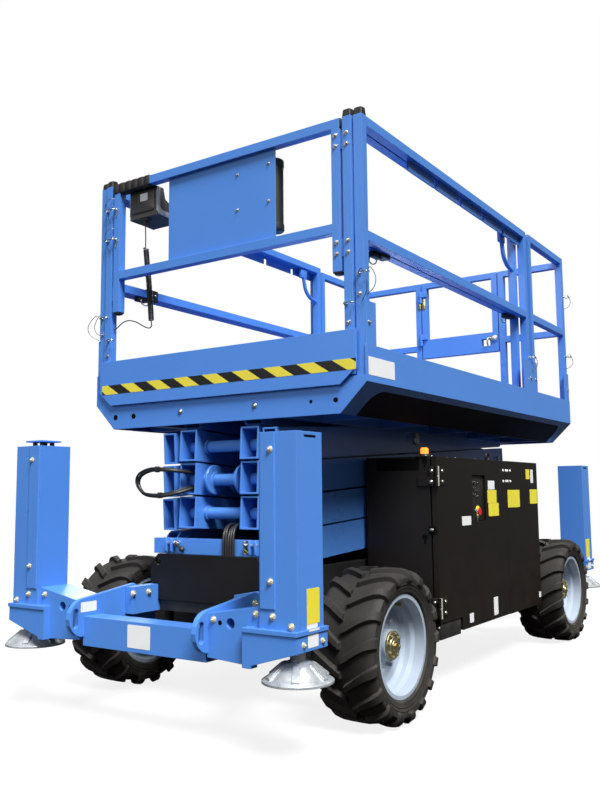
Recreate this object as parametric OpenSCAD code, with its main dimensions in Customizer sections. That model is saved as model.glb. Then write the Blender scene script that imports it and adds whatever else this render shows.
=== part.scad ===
// Rough terrain scissor lift with four outriggers, a roll-out deck extension and guard rails.
// Millimetres. +X is the steered end, +Y the left side, +Z up, the floor is at zero.

/* [Wheels] */
// Wheel centres behind the arms' end pins
axle_back = 101; // [80:1:120]
// Distance between the left and the right tyre centres
track_w = 1440; // [1420:1:1500]
// Radius of a tyre out to its lug tips
tyre_r = 320; // [310:1:330]
// Width of a tyre
tyre_w = 300; // [270:1:310]
// Radius of the rim lip
rim_r = 212; // [200:1:220]
// Width of the rim over its lips
rim_w = 242; // [220:1:256]
// Depth of a tread lug
lug_h = 24; // [16:1:30]
// Number of lugs on each half of a tyre
lug_count = 16; // [14:1:18]

/* [Axles and steering] */
// Distance from the machine's middle plane to a kingpin
kingpin_y = 500; // [490:1:510]
// Radius of a kingpin
kingpin_r = 22; // [16:1:26]
// Radius of a wheel spindle
spindle_r = 40; // [30:1:46]
// Radius of a wheel motor
motor_r = 75; // [60:1:85]
// Height of an axle beam
axle_h = 110; // [90:1:120]
// Width of an axle beam
axle_w = 90; // [80:1:100]
// Length of a steering arm behind its kingpin
steer_arm = 170; // [160:1:180]
// Radius of the tie rod
tie_r = 14; // [10:1:16]

/* [Chassis] */
// Outer half width of the chassis rails
rail_out = 340; // [335:1:342]
// Width of a chassis rail
rail_w = 85; // [70:1:90]
// Underside of the chassis rails
rail_low = 420; // [410:1:425]
// Length of a chassis rail past the end pins
rail_past = 160; // [140:1:180]
// Thickness of the belly plate and of the end plates
belly_t = 12; // [8:1:16]
// Front guard plate thickness
guard_t = 14; // [8:1:16]

/* [Scissor stack] */
// Distance between the end pins of an arm, along X, as stowed
arm_reach = 2540; // [2480:1:2560]
// Height of the lowest pins
pin_low = 706; // [700:1:715]
// Height from one row of pins to the next, as stowed
row_pitch = 157; // [156:0.5:162]
// Height of an arm tube
arm_h = 148; // [130:1:150]
// Wall of an arm tube
arm_wall = 8; // [5:1:10]
// Width of an inner arm tube
inner_w = 103; // [90:1:104]
// Middle of an inner arm tube, out from the middle plane
inner_y = 183.5; // [180:0.5:185]
// Width of an outer arm tube
outer_w = 75; // [60:1:78]
// Middle of an outer arm tube, out from the middle plane
outer_y = 300.5; // [299:0.5:304]
// Length of an arm tube past its pin
arm_tail = 90; // [84:1:95]
// Radius of the pin shafts
shaft_r = 20; // [14:1:22]
// Wall of the cross tubes round the shafts
cross_wall = 8; // [5:1:10]
// Radius of the sliding rollers
roller_r = 55; // [50:1:58]
// Radius of the lift cylinder's barrel
barrel_r = 58; // [40:1:60]
// Radius of the lift cylinder's rod
ram_r = 38; // [25:1:40]

/* [Outriggers] */
// Distance from a chassis rail's end to a post's outer end face
post_past = 434; // [425:1:445]
// Size of a post along X
post_d = 168; // [150:1:172]
// Size of a post along Y
post_w = 169; // [150:1:172]
// Inner side of a post
post_in = 620; // [615:1:630]
// Top of the front posts
post_top = 1180; // [1150:1:1200]
// Top of the rear posts
rear_post_top = 1130; // [1100:1:1180]
// Underside of a boot
boot_low = 335; // [330:1:345]
// Height of a boot
boot_h = 134; // [110:1:140]
// Radius of a foot's rod
foot_r = 29; // [22:1:32]
// Radius of a pad
pad_r = 132; // [120:1:136]
// Underside of a pad, as stowed
pad_low = 279; // [265:1:280]
// Thickness of a tow plate
tow_t = 22; // [16:1:26]
// Distance from a chassis rail's end to a tow plate's nose
tow_past = 490; // [480:1:510]
// Half width of a tow slot
tow_slot_r = 15; // [10:1:18]
// Radius of a tie-down hole
lash_r = 20; // [14:1:22]

/* [Cabinets] */
// Room between the front tyres and the cabinets
cab_front_gap = 228; // [220:1:245]
// Room between the cabinets and the rear tyres
cab_rear_gap = 7; // [6:1:25]
// Outer face of a cabinet
cab_out = 752; // [745:1:760]
// Inner face of a cabinet
cab_in = 364; // [360:1:370]
// Underside of a cabinet
cab_low = 265; // [255:1:280]
// Top of a cabinet
cab_top = 1127; // [1100:1:1140]
// Wall of a cabinet
cab_wall = 12; // [6:1:16]
// Thickness of a door
door_t = 30; // [20:1:34]
// Rear edge of a door
door_end = -305; // [-320:1:-290]

/* [Platform] */
// Distance from the front pins to the deck's front face
deck_front_past = 102; // [95:1:110]
// Distance from the rear pins to the deck's rear face
deck_rear_past = 161; // [150:1:170]
// Half width of the deck
deck_half = 805; // [800:1:812]
// Walking surface of the deck
deck_top = 1437; // [1434:1:1445]
// Thickness of the deck plate
deck_t = 12; // [6:1:12]
// Top of the toe boards
toe_top = 1566; // [1540:1:1590]
// Lower edge of the side skirts
skirt_low = 1410; // [1400:1:1415]
// Underside of the deck frame
keel_low = 1283; // [1278:1:1290]
// Half width of the deck frame's underside
keel_half = 675; // [650:1:700]
// Thickness of the deck's sheets
sheet_t = 8; // [5:1:10]
// Width of a guard rail tube
tube_w = 42; // [36:1:44]
// Top of the guard rails
rail_top = 2567; // [2500:1:2600]
// Drop of the middle rails' underside from the top of the rails
mid_drop = 549; // [520:1:580]
// Middle post of the side rails
mid_post_x = -675; // [-720:1:-640]

/* [Extension deck] */
// Thickness of the front board
board_t = 12; // [8:1:12]
// Half width of the front board
board_half = 764; // [750:1:770]
// Top of the front board
board_top = 1631; // [1600:1:1650]
// Lower edge of the front board
board_low = 1403; // [1395:1:1410]
// Rear edge of the extension deck
ext_rear = -674; // [-700:1:-620]
// Thickness of the extension plate
ext_t = 12; // [6:1:14]

/* [Hidden] */
$fn = 48;
overrun = 5;
fit = 0.05;
seat = 0.3;
run_gap = 6;
weld = 0.3;

blue = [0.20, 0.43, 0.80];
black = [0.06, 0.06, 0.07];
tyre_black = [0.08, 0.08, 0.08];
rim_grey = [0.72, 0.73, 0.75];
zinc = [0.70, 0.70, 0.68];
orange = [0.95, 0.45, 0.05];
dark_grey = [0.16, 0.16, 0.18];

axle_z = tyre_r;
tyre_y = track_w / 2;
pin_x = arm_reach / 2;
front_x = pin_x - axle_back;
rail_half = pin_x + rail_past;
deck_front = pin_x + deck_front_past;
deck_rear = -pin_x - deck_rear_past;
post_end = rail_half + post_past;
cab_front = front_x - tyre_r - cab_front_gap;
cab_rear = -(front_x - tyre_r - cab_rear_gap);
tow_end = rail_half + tow_past;
mid_low = rail_top - mid_drop;

// Shared shapes

// A box from its low corner to its high corner
module span(low, high) {
    translate(low) cube(high - low);
}

// A round bar along Y between two heights of y
module bar_y(x, z, y_from, y_to, r) {
    translate([x, y_from, z]) rotate([-90, 0, 0]) cylinder(r = r, h = y_to - y_from);
}

// A round bar along X
module bar_x(y, z, x_from, x_to, r) {
    translate([x_from, y, z]) rotate([0, 90, 0]) cylinder(r = r, h = x_to - x_from);
}

// A round bar along Z
module bar_z(x, y, z_from, z_to, r) {
    translate([x, y, z_from]) cylinder(r = r, h = z_to - z_from);
}

// The same shape on the left and on the right
module both_sides() {
    children();
    mirror([0, 1, 0]) children();
}

// A plate in the XZ plane, its outline given as x and z, between two values of y
module plate_xz(points, y_from, y_to) {
    translate([0, y_to, 0]) rotate([90, 0, 0]) linear_extrude(y_to - y_from) polygon(points);
}

// A plate in the YZ plane, its outline given as y and z, between two values of x
module plate_yz(points, x_from, x_to) {
    translate([x_from, 0, 0]) rotate([90, 0, 90]) linear_extrude(x_to - x_from) polygon(points);
}

// Wheels, each made at the origin with its axle along Y and its outer side towards +Y

lip_h = 9;
lip_t = 8;
bead_r = rim_r - lip_h;
bulge_share = 0.52;
shoulder_share = 0.36;
tread_share = 0.46;

lug_steps = 4;
lug_raised = 2;
lug_sweep = 24;
groove_share = 0.85;
crown_share = 0.35;
stations = lug_count * lug_steps;
chord_share = 1 / cos(180 / stations);
tread_y = tyre_w * shoulder_share;

// Whether a lug stands at a station: the two halves of the tread are half a pitch apart
function lug_on(i, side) = (i + (side > 0 ? 0 : lug_raised)) % lug_steps < lug_raised ? 1 : 0;

// A point of the tyre, its station swept back from the tread's edge
function tyre_point(i, r, y) =
    let (turn = (i - lug_raised + 1 / 2) * 360 / stations - 90 + lug_sweep * (tread_y - abs(y)) / tread_y)
    [r * cos(turn), y, r * sin(turn)];

// One half of the tyre's section at a station, from the tread's edge in to the bead
function half_ring(i, side) =
    let (up = lug_on(i, side), bulge_r = rim_r + bulge_share * (tyre_r - rim_r))
    [
        tyre_point(i, (tyre_r - lug_h * groove_share * (1 - up)) * chord_share, side * tread_y),
        tyre_point(i, tyre_r - lug_h / 2 - lug_h * groove_share * (1 - up), side * tyre_w * tread_share),
        tyre_point(i, bulge_r, side * (tyre_w / 2 - lug_h / 3 * (1 - up))),
        tyre_point(i, bulge_r - lug_h, side * (tyre_w / 2 - lug_h / 3)),
        tyre_point(i, (rim_r + seat) * chord_share, side * rim_w / 2)
    ];

module tyre_body() {
    rings = [for (i = [0:stations - 1])
        let (right = half_ring(i, 1), left = half_ring(i, -1), last = len(left) - 1)
        concat([tyre_point(i, tyre_r - lug_h * crown_share, 0)], right, [for (k = [0:last]) left[last - k]])];
    rows = len(rings[0]);
    walls = [for (i = [0:stations - 1]) for (k = [0:rows - 1])
        let (a = i * rows + k, b = i * rows + (k + 1) % rows)
        let (d = (i + 1) % stations * rows + k, c = (i + 1) % stations * rows + (k + 1) % rows)
        each [[a, b, c], [a, c, d]]];
    polyhedron(points = [for (ring = rings) each ring], faces = walls);
}

disc_y = 10;
disc_t = 12;
hub_in = -30;
hub_out = 65;
hub_r = 64;
boss_r = 78;
spindle_end = 38;
rim_wall = 8;
stud_count = 9;
stud_r = 9;
stud_h = 16;
stud_ring = 105;
step_h = 14;
step_y = 74;

module rim_body() {
    barrel_in = bead_r - rim_wall;
    half = rim_w / 2;
    rotate([-90, 0, 0]) {
        rotate_extrude($fn = 96) polygon([
            [rim_r, -half], [rim_r, -half + lip_t], [bead_r, -half + lip_t],
            [bead_r, half - lip_t], [rim_r, half - lip_t], [rim_r, half],
            [barrel_in, half], [barrel_in, step_y], [barrel_in - step_h, step_y - step_h],
            [barrel_in - step_h, disc_y + disc_t + step_h], [barrel_in - 2 * step_h, disc_y + disc_t],
            [hub_r, disc_y + disc_t], [hub_r, hub_out], [0, hub_out],
            [0, spindle_end + run_gap], [spindle_r + fit, spindle_end + run_gap], [spindle_r + fit, hub_in],
            [boss_r, hub_in], [boss_r, disc_y], [barrel_in, disc_y], [barrel_in, -half]
        ]);
        for (i = [0:stud_count - 1])
            rotate([0, 0, i * 360 / stud_count]) translate([stud_ring, 0, disc_y + disc_t / 2])
                cylinder(r = stud_r, h = disc_t / 2 + stud_h, $fn = 6);
    }
}

module at_wheel(x_side, y_side) {
    translate([x_side * front_x, y_side * tyre_y, axle_z])
        mirror([0, y_side < 0 ? 1 : 0, 0]) children();
}

module tyre_fl() { color(tyre_black) at_wheel(1, 1) tyre_body(); }
module tyre_fr() { color(tyre_black) at_wheel(1, -1) tyre_body(); }
module tyre_rl() { color(tyre_black) at_wheel(-1, 1) tyre_body(); }
module tyre_rr() { color(tyre_black) at_wheel(-1, -1) tyre_body(); }
module rim_fl() { color(rim_grey) at_wheel(1, 1) rim_body(); }
module rim_fr() { color(rim_grey) at_wheel(1, -1) rim_body(); }
module rim_rl() { color(rim_grey) at_wheel(-1, 1) rim_body(); }
module rim_rr() { color(rim_grey) at_wheel(-1, -1) rim_body(); }

// Axles, knuckles and the tie rod

knuckle_half = 68;
knuckle_r = 45;
neck_r = 36;
lug_gap = 4;
fork_t = 28;
fork_r = 42;
beam_end = 400;
beam_in = 330;
saddle_in = 200;
saddle_out = 320;
motor_end = tyre_y + hub_in - run_gap;
motor_in = 575;
arm_drop = 30;
arm_t = 22;
arm_half = 18;
arm_boss_r = 23;
arm_inset = 3;
ball_r = 10;
eye_r = 24;
eye_h = 32;
rod_lift = 2;
open_gap = 0.6;

// Tie rod pin on the left, measured from the machine's middle
ball_x = front_x - steer_arm;
ball_y = kingpin_y;
arm_top = axle_z - arm_drop + arm_t;

module spindle(y_from) {
    bar_y(0, axle_z, y_from, motor_end, motor_r);
    bar_y(0, axle_z, motor_end - overrun, tyre_y + spindle_end, spindle_r);
}

module front_axle() {
    color(black) translate([front_x, 0, 0]) {
        span([-axle_w / 2, -beam_end, axle_z - axle_h / 2], [axle_w / 2, beam_end, axle_z + axle_h / 2]);
        both_sides() {
            span([-axle_w / 2, saddle_in, axle_z], [axle_w / 2, saddle_out, rail_low]);
            for (side = [-1, 1])
                fork_lug(side * (knuckle_half + lug_gap + fork_t / 2));
        }
    }
}

// One ear of the fork round the kingpin
module fork_lug(z_mid) {
    difference() {
        union() {
            span([-fork_r, beam_in, axle_z + z_mid - fork_t / 2],
                 [fork_r, kingpin_y, axle_z + z_mid + fork_t / 2]);
            bar_z(0, kingpin_y, axle_z + z_mid - fork_t / 2, axle_z + z_mid + fork_t / 2, fork_r);
            span([-fork_r, beam_in, axle_z + min(z_mid, 0)], [fork_r, beam_end, axle_z + max(z_mid, 0)]);
        }
        bar_z(0, kingpin_y, axle_z + z_mid - fork_t, axle_z + z_mid + fork_t, kingpin_r + fit);
    }
}

module rear_axle() {
    color(black) translate([-front_x, 0, 0]) {
        span([-axle_w / 2, -motor_in, axle_z - axle_h / 2], [axle_w / 2, motor_in, axle_z + axle_h / 2]);
        both_sides() {
            span([-axle_w / 2, saddle_in, axle_z], [axle_w / 2, saddle_out, rail_low]);
            spindle(motor_in - overrun);
        }
    }
}

module knuckle() {
    translate([front_x, 0, 0]) {
        bar_z(0, kingpin_y, axle_z - knuckle_half, axle_z + knuckle_half, knuckle_r);
        bar_z(0, kingpin_y, axle_z - knuckle_half - lug_gap - fork_t, axle_z + knuckle_half + lug_gap + fork_t,
              kingpin_r);
        bar_y(0, axle_z, kingpin_y, motor_in + overrun, neck_r);
        spindle(motor_in);
    }
    steer_lever();
}

module steer_lever() {
    span([ball_x, kingpin_y - arm_half, axle_z - arm_drop + arm_inset],
         [front_x, kingpin_y + arm_half, arm_top - arm_inset]);
    bar_z(ball_x, ball_y, axle_z - arm_drop, arm_top, arm_boss_r);
    bar_z(ball_x, ball_y, arm_top - overrun, arm_top + rod_lift + eye_h + overrun, ball_r);
}

module knuckle_fl() { color(dark_grey) knuckle(); }
module knuckle_fr() { color(dark_grey) mirror([0, 1, 0]) knuckle(); }

module tie_rod() {
    z_low = arm_top + rod_lift;
    color(dark_grey) difference() {
        union() {
            for (side = [-1, 1]) bar_z(ball_x, side * ball_y, z_low, z_low + eye_h, eye_r);
            bar_y(ball_x, z_low + eye_h / 2, -ball_y, ball_y, tie_r - rod_lift);
        }
        bar_z(ball_x, ball_y, z_low - overrun, z_low + eye_h + overrun, ball_r + fit);
        bar_z(ball_x, -ball_y, z_low - overrun, z_low + eye_h + overrun, ball_r + open_gap);
    }
}

// Chassis: two rails with the roller tracks on top, a belly plate and the lower pin brackets

tilt0 = atan2(row_pitch, arm_reach);
arm_len = arm_reach / cos(tilt0);
end_r = 80;
track_top = pin_low - roller_r - seat;
track_front = 320;
rail_in = rail_out - rail_w;
rail_clear = 11;
front_rail_top = pin_low - end_r - rail_clear;
ear_t = 14;
ear_r = 48;
ear_gap = 5.5;
inner_out = inner_y + inner_w / 2;
inner_in = inner_y - inner_w / 2;
outer_in = outer_y - outer_w / 2;
outer_out = outer_y + outer_w / 2;
nose_past = 170;
nose_end = rail_half + nose_past;
nose_low = 400;
nose_top = 540;
nose_w = 50;
bar_low = 678;
bar_top = 749;
bar_past = 92;
bar_d = 38;
bar_x_from = pin_x + bar_past;
bar_x_to = bar_x_from + bar_d;
bracket_x_share = [-0.6, 0.3];

module chassis_frame() {
    color(black) {
        both_sides() {
            span([-rail_half, rail_in, rail_low], [track_front, rail_out, track_top]);
            span([track_front - overrun, rail_in, rail_low], [rail_half, rail_out, front_rail_top]);
            for (end = [-1, 1])
                span([min(end * nose_end, end * (rail_half - nose_w)), rail_out - nose_w, rail_low],
                     [max(end * nose_end, end * (rail_half - nose_w)), rail_out, nose_top]);
            for (share = bracket_x_share)
                span([share * cab_front - nose_w, rail_out - overrun, rail_low],
                     [share * cab_front + nose_w, cab_in, nose_top]);
        }
        span([-rail_half, -rail_in - overrun, rail_low], [rail_half, rail_in + overrun, rail_low + belly_t]);
        for (end = [-rail_half, rail_half - belly_t])
            span([end, -rail_in - overrun, rail_low], [end + belly_t, rail_in + overrun, front_rail_top]);
    }
    color(blue) both_sides() {
        pin_ear(outer_in - ear_gap - ear_t);
        pin_ear(outer_out + ear_gap);
    }
    color(blue) span([bar_x_from, -outer_out - ear_gap - ear_t, bar_low],
                     [bar_x_to, outer_out + ear_gap + ear_t, bar_top]);
}

// An ear that carries the lowest front pin, standing on the rail
module pin_ear(y_from) {
    difference() {
        union() {
            bar_y(pin_x, pin_low, y_from, y_from + ear_t, ear_r);
            span([pin_x - ear_r, y_from, front_rail_top - overrun], [pin_x + ear_r, y_from + ear_t, pin_low]);
            span([pin_x, y_from, bar_low], [bar_x_from + overrun, y_from + ear_t, bar_top]);
        }
        bar_y(pin_x, pin_low, y_from - overrun, y_from + ear_t + overrun, shaft_r + fit);
    }
}

guard_x = rail_half + seat;
guard_top = 680;
guard_half = 285;
guard_low = 470;
guard_cut = 46;
guard_wing = 50;
guard_hole_y = -290;
guard_hole_z = 645;
guard_hole_r = 17;

module front_guard() {
    color(black) difference() {
        plate_yz([
            [-guard_half, guard_low],
            [guard_half, guard_low],
            [guard_half, nose_top + run_gap],
            [guard_half + guard_wing, nose_top + run_gap],
            [guard_half + guard_wing, guard_top - guard_cut],
            [guard_half + guard_wing - guard_cut, guard_top],
            [-guard_half - guard_wing + guard_cut, guard_top],
            [-guard_half - guard_wing, guard_top - guard_cut],
            [-guard_half - guard_wing, nose_top + run_gap],
            [-guard_half, nose_top + run_gap]
        ], guard_x, guard_x + guard_t);
        bar_x(guard_hole_y, guard_hole_z, guard_x - overrun, guard_x + guard_t + overrun, guard_hole_r);
    }
}

// Outrigger frames: tow plates, crossbar, side arms, boots and posts

cross_back = 26;
cross_front = post_end - cross_back;
cross_d = 100;
cross_low = 315;
cross_h = 122;
arm_low_in = 338;
arm_low_out = 327;
arm_high_in = 499;
arm_high_out = 546;
boot_in = 552;
boot_out = 793;
boot_long = 188;
boot_past = 16;
boot_back = post_end - boot_long;
boot_front = post_end + boot_past;
tow_low = 352;
tow_nose_r = 80;
tow_back_past = 28;
tow_back = rail_half - tow_back_past;
tow_hump = 550;
tow_hump_past = 115;
tow_sink = 30;
tow_heel = 502;
tow_heel_past = 9;
slot_back = 35;
slot_x = tow_end - slot_back;
slot_len = 84;
lash_y = 471;
lash_z = 471;
post_wall = 8;
cap_t = 10;
foot_bore_r = 48;
foot_out = 26;
foot_y = post_in + post_w / 2 + foot_out;
arm_step = 60;

tow_mid = tow_low + tow_nose_r;

// Points of the tow plate's round nose, from its top to its underside
function nose_arc() = [for (turn = [80:-20:-80])
    [tow_end - tow_nose_r + tow_nose_r * cos(turn), tow_mid + tow_nose_r * sin(turn)]];

module tow_plate() {
    difference() {
        plate_xz(concat([
            [tow_back + nose_w, tow_low],
            [tow_back, tow_low + tow_sink],
            [rail_half + tow_heel_past, tow_heel],
            [rail_half + tow_hump_past - tow_sink, tow_hump - tow_sink / 2],
            [rail_half + tow_hump_past, tow_hump]
        ], nose_arc()), rail_out, rail_out + tow_t);
        for (side = [-1, 1])
            bar_y(slot_x, tow_mid + side * (slot_len / 2 - tow_slot_r),
                  rail_out - overrun, rail_out + tow_t + overrun, tow_slot_r);
        span([slot_x - tow_slot_r, rail_out - overrun, tow_mid - slot_len / 2 + tow_slot_r],
             [slot_x + tow_slot_r, rail_out + tow_t + overrun, tow_mid + slot_len / 2 - tow_slot_r]);
    }
}

boot_bevel_y = 203;
boot_bevel_z = 59;
boot_lip = 5;
boot_lip_h = 16;
strip_in = 7;
strip_w = 65;
strip_t = 5;
strip_low = 540;
tab_w = 40;
tab_h = 10;

module boot(top_z) {
    foot_x = post_end - post_d / 2;
    difference() {
        union() {
            plate_yz([
                [boot_in, boot_low + boot_h],
                [boot_in, boot_low],
                [boot_out - boot_bevel_y, boot_low],
                [boot_out, boot_low + boot_bevel_z],
                [boot_out, boot_low + boot_h]
            ], boot_back, boot_front);
            span([boot_back, boot_in, boot_low + boot_h - boot_lip_h],
                 [boot_front + boot_lip, boot_out + boot_lip, boot_low + boot_h]);
            span([boot_front - tab_w, boot_in, boot_low - tab_h],
                 [boot_front, boot_in + tab_w, boot_low + tab_h]);
            span([post_end - overrun, post_in + strip_in, strip_low],
                 [post_end + strip_t, post_in + strip_in + strip_w, top_z]);
            span([post_end - post_d, post_in, boot_low + boot_h - overrun],
                 [post_end, post_in + post_w, top_z]);
        }
        bar_z(foot_x, foot_y, boot_low - overrun, boot_low + boot_h + overrun, foot_r + fit);
        bar_z(foot_x, foot_y, boot_low + boot_h, top_z - cap_t, foot_bore_r);
    }
}

module outrigger_frame(top_z) {
    both_sides() {
        tow_plate();
        boot(top_z);
        difference() {
            plate_yz([
                [rail_out + tow_t - overrun, arm_low_in],
                [boot_in + overrun, arm_low_out],
                [post_in + overrun, arm_high_out - arm_step],
                [post_in + overrun, arm_high_out],
                [rail_out + tow_t - overrun, arm_high_in]
            ], boot_back + post_wall, cross_front + post_wall);
            bar_x(lash_y, lash_z, boot_back, cross_front + boot_long, lash_r);
        }
    }
    span([cross_front - cross_d, -rail_out - overrun, cross_low],
         [cross_front, rail_out + overrun, cross_low + cross_h]);
}

module front_outrigger_frame() { color(blue) outrigger_frame(post_top); }
module rear_outrigger_frame() { color(blue) mirror([1, 0, 0]) outrigger_frame(rear_post_top); }

foot_inside = 620;
pad_rim = 24;
pad_dome = 62;
pad_neck = 40;
rib_count = 6;
rib_t = 26;
rib_h = 5;

module foot(x_side, y_side) {
    x = x_side * (post_end - post_d / 2);
    y = y_side * foot_y;
    translate([x, y, 0]) {
        rotate_extrude($fn = 64) polygon([
            [0, pad_low],
            [pad_r, pad_low],
            [pad_r, pad_low + pad_rim / 3],
            [pad_r - pad_rim, pad_low + pad_rim],
            [pad_neck + pad_rim, pad_low + pad_dome],
            [pad_neck, pad_low + pad_dome + pad_rim / 2],
            [0, pad_low + pad_dome + pad_rim / 2]
        ]);
        cylinder_from(pad_low + pad_dome, boot_low + foot_inside, foot_r);
        for (i = [0:rib_count - 1])
            rotate([0, 0, (i + 1 / 2) * 360 / rib_count]) plate_xz([
                [foot_r - overrun, pad_low + pad_rim],
                [pad_r - pad_rim / 2, pad_low + pad_rim / 3],
                [pad_r - pad_rim / 2, pad_low + pad_rim],
                [pad_neck + pad_rim, pad_low + pad_dome + rib_h],
                [foot_r - overrun, pad_low + pad_dome + rib_h]
            ], -rib_t / 2, rib_t / 2);
    }
}

// A round bar on the Z axis
module cylinder_from(z_from, z_to, r) {
    translate([0, 0, z_from]) cylinder(r = r, h = z_to - z_from);
}

module foot_fl() { color(zinc) foot(1, 1); }
module foot_fr() { color(zinc) foot(1, -1); }
module foot_rl() { color(zinc) foot(-1, 1); }
module foot_rr() { color(zinc) foot(-1, -1); }

// Cabinets, hollow, with a door on the front part of the outer side

door_in = cab_out - door_t;
shell_out = door_in - run_gap;
hinge_off = 5;
hinge_x = cab_front + hinge_off;
hinge_y = cab_out + hinge_off;
hinge_pin_r = 6;
hinge_r = 11;
hinge_h = 46;
hinge_low_shares = [0.105, 0.832];
strap_t = 8;
seam = 4;
notch_x = 350;
notch_z = 330;
panel_in = shell_out - cab_wall;

// The cabinet's side outline, x and z, with the step over the front wheel
function cab_outline(x_from, x_to, inset) = [
    [x_to - inset, cab_top - inset],
    [x_to - inset, notch_z + inset],
    [notch_x - inset, notch_z + inset],
    [notch_x - inset, cab_low + inset],
    [x_from + inset, cab_low + inset],
    [x_from + inset, cab_top - inset]
];

module cabinet() {
    difference() {
        plate_xz(cab_outline(cab_rear, cab_front, 0), cab_in, shell_out);
        plate_xz(cab_outline(cab_rear, cab_front, cab_wall), cab_in + cab_wall, shell_out + overrun);
    }
    // Fixed outer panel behind the door, with the post that it and the door close on
    span([cab_rear, shell_out - overrun, cab_low], [door_end - seam, cab_out, cab_top]);
    span([door_end - 2 * door_t, panel_in, cab_low], [door_end + door_t, shell_out, cab_top]);
    for (share = hinge_low_shares) hinge_strap(cab_low + share * (cab_top - cab_low));
}

// The half of a hinge on the cabinet, with its upright pin
module hinge_strap(z) {
    span([cab_front - overrun, shell_out - 2 * door_t, z], [hinge_x + strap_t / 2, shell_out, z + hinge_h]);
    span([cab_front, shell_out - overrun, z], [hinge_x + strap_t / 2, hinge_y, z + hinge_h]);
    bar_z(hinge_x, hinge_y, z, z + hinge_h, hinge_r);
    bar_z(hinge_x, hinge_y, z, z + 2 * hinge_h, hinge_pin_r);
}

door_edge = cab_front - run_gap;

module door() {
    difference() {
        union() {
            plate_xz([
                [door_edge, cab_top - seam / 2],
                [door_edge, notch_z],
                [notch_x, notch_z],
                [notch_x, cab_low + seam / 2],
                [door_end, cab_low + seam / 2],
                [door_end, cab_top - seam / 2]
            ], door_in, cab_out);
            for (share = hinge_low_shares) door_knuckle(cab_low + share * (cab_top - cab_low) + hinge_h + seam);
        }
        for (share = hinge_low_shares) {
            z = cab_low + share * (cab_top - cab_low);
            bar_z(hinge_x, hinge_y, z + hinge_h, z + 3 * hinge_h, hinge_pin_r + fit);
        }
    }
}

module door_knuckle(z) {
    bar_z(hinge_x, hinge_y, z, z + hinge_h, hinge_r);
    span([door_edge - door_t, cab_out - seam, z], [hinge_x, hinge_y + hinge_pin_r, z + hinge_h]);
}

// Recess for the ground controls in the left door
panel_front = 185;
panel_back = 6;
panel_low = 797;
panel_top = 1040;
panel_deep = 18;

module left_cabinet() { color(black) cabinet(); }
module right_cabinet() { color(black) mirror([0, 1, 0]) cabinet(); }

module left_door() {
    color(black) difference() {
        door();
        span([panel_back, cab_out - panel_deep, panel_low], [panel_front, cab_out + overrun, panel_top]);
    }
}

module right_door() { color(black) mirror([0, 1, 0]) door(); }

// Heavy masses inside the cabinets, on the cabinet floors
engine_len = 620;
engine_w = 260;
engine_h = 560;
tank_len = 560;
tank_w = 230;
tank_h = 480;
inside_front = 320;
inside_y = cab_in + cab_wall + 2 * run_gap;

module engine_block() {
    color(dark_grey) span([inside_front - engine_len, -inside_y - engine_w, cab_low + cab_wall],
                          [inside_front, -inside_y, cab_low + cab_wall + engine_h]);
}

module oil_tank() {
    color(dark_grey) span([inside_front - tank_len, inside_y, cab_low + cab_wall],
                          [inside_front, inside_y + tank_w, cab_low + cab_wall + tank_h]);
}

beacon_back = 29;
beacon_x = cab_front - beacon_back;
beacon_y = 678;
beacon_r = 20;
beacon_h = 36;
beacon_base_h = 12;
beacon_crown_share = 1.2;

module beacon() {
    translate([beacon_x, beacon_y, cab_top]) {
        color(black) cylinder(r = beacon_r + seam, h = beacon_base_h);
        color(orange) translate([0, 0, beacon_base_h - seam]) intersection() {
            cylinder(r = beacon_r, h = beacon_h);
            translate([0, 0, beacon_h - beacon_r]) sphere(r = beacon_r * beacon_crown_share);
        }
    }
}

// Entry ladder on the rear end of the chassis

ladder_past = 70;
ladder_x = -rail_half - ladder_past;
ladder_half = 200;
ladder_stile = 40;
ladder_d = 36;
ladder_low = 420;
ladder_top = 1250;
rung_count = 3;
rung_h = 30;

module entry_ladder() {
    step = (ladder_top - ladder_low - rung_h) / rung_count;
    color(blue) {
        both_sides() {
            span([ladder_x - ladder_d, ladder_half, ladder_low],
                 [ladder_x, ladder_half + ladder_stile, ladder_top]);
            span([ladder_x - overrun, ladder_half, rail_low + nose_w],
                 [-rail_half, ladder_half + ladder_stile, rail_low + 2 * nose_w]);
        }
        for (i = [0:rung_count - 1])
            span([ladder_x - ladder_d, -ladder_half - overrun, ladder_low + i * step],
                 [ladder_x, ladder_half + overrun, ladder_low + i * step + rung_h]);
    }
}

// Scissor arms. An outer arm runs from its front pin up to the rear, an inner arm down to the rear.

cross_r = shaft_r + cross_wall;
collar_wall = 7;
collar_r = cross_r + collar_wall;
pin_head = 6;
center_pin_r = 24;

// A square tube along the arm, from the front pin at the origin, with cut-back ends
module arm_tube(y_mid, w, front_tail, rear_tail) {
    difference() {
        span([-arm_len - rear_tail, y_mid - w / 2, -arm_h / 2], [front_tail, y_mid + w / 2, arm_h / 2]);
        span([-arm_len - rear_tail - overrun, y_mid - w / 2 + arm_wall, -arm_h / 2 + arm_wall],
             [front_tail + overrun, y_mid + w / 2 - arm_wall, arm_h / 2 - arm_wall]);
    }
}

// Rounds an arm's end to a radius about its pin
module round_end(x, sign, y_mid, w) {
    difference() {
        span([x - (sign < 0 ? 2 * end_r : 0), y_mid - w, -arm_h],
             [x + (sign < 0 ? 0 : 2 * end_r), y_mid + w, arm_h]);
        bar_y(x, 0, y_mid - w - overrun, y_mid + w + overrun, end_r);
    }
}

function pin_z(row) = pin_low + row * row_pitch;

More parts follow.
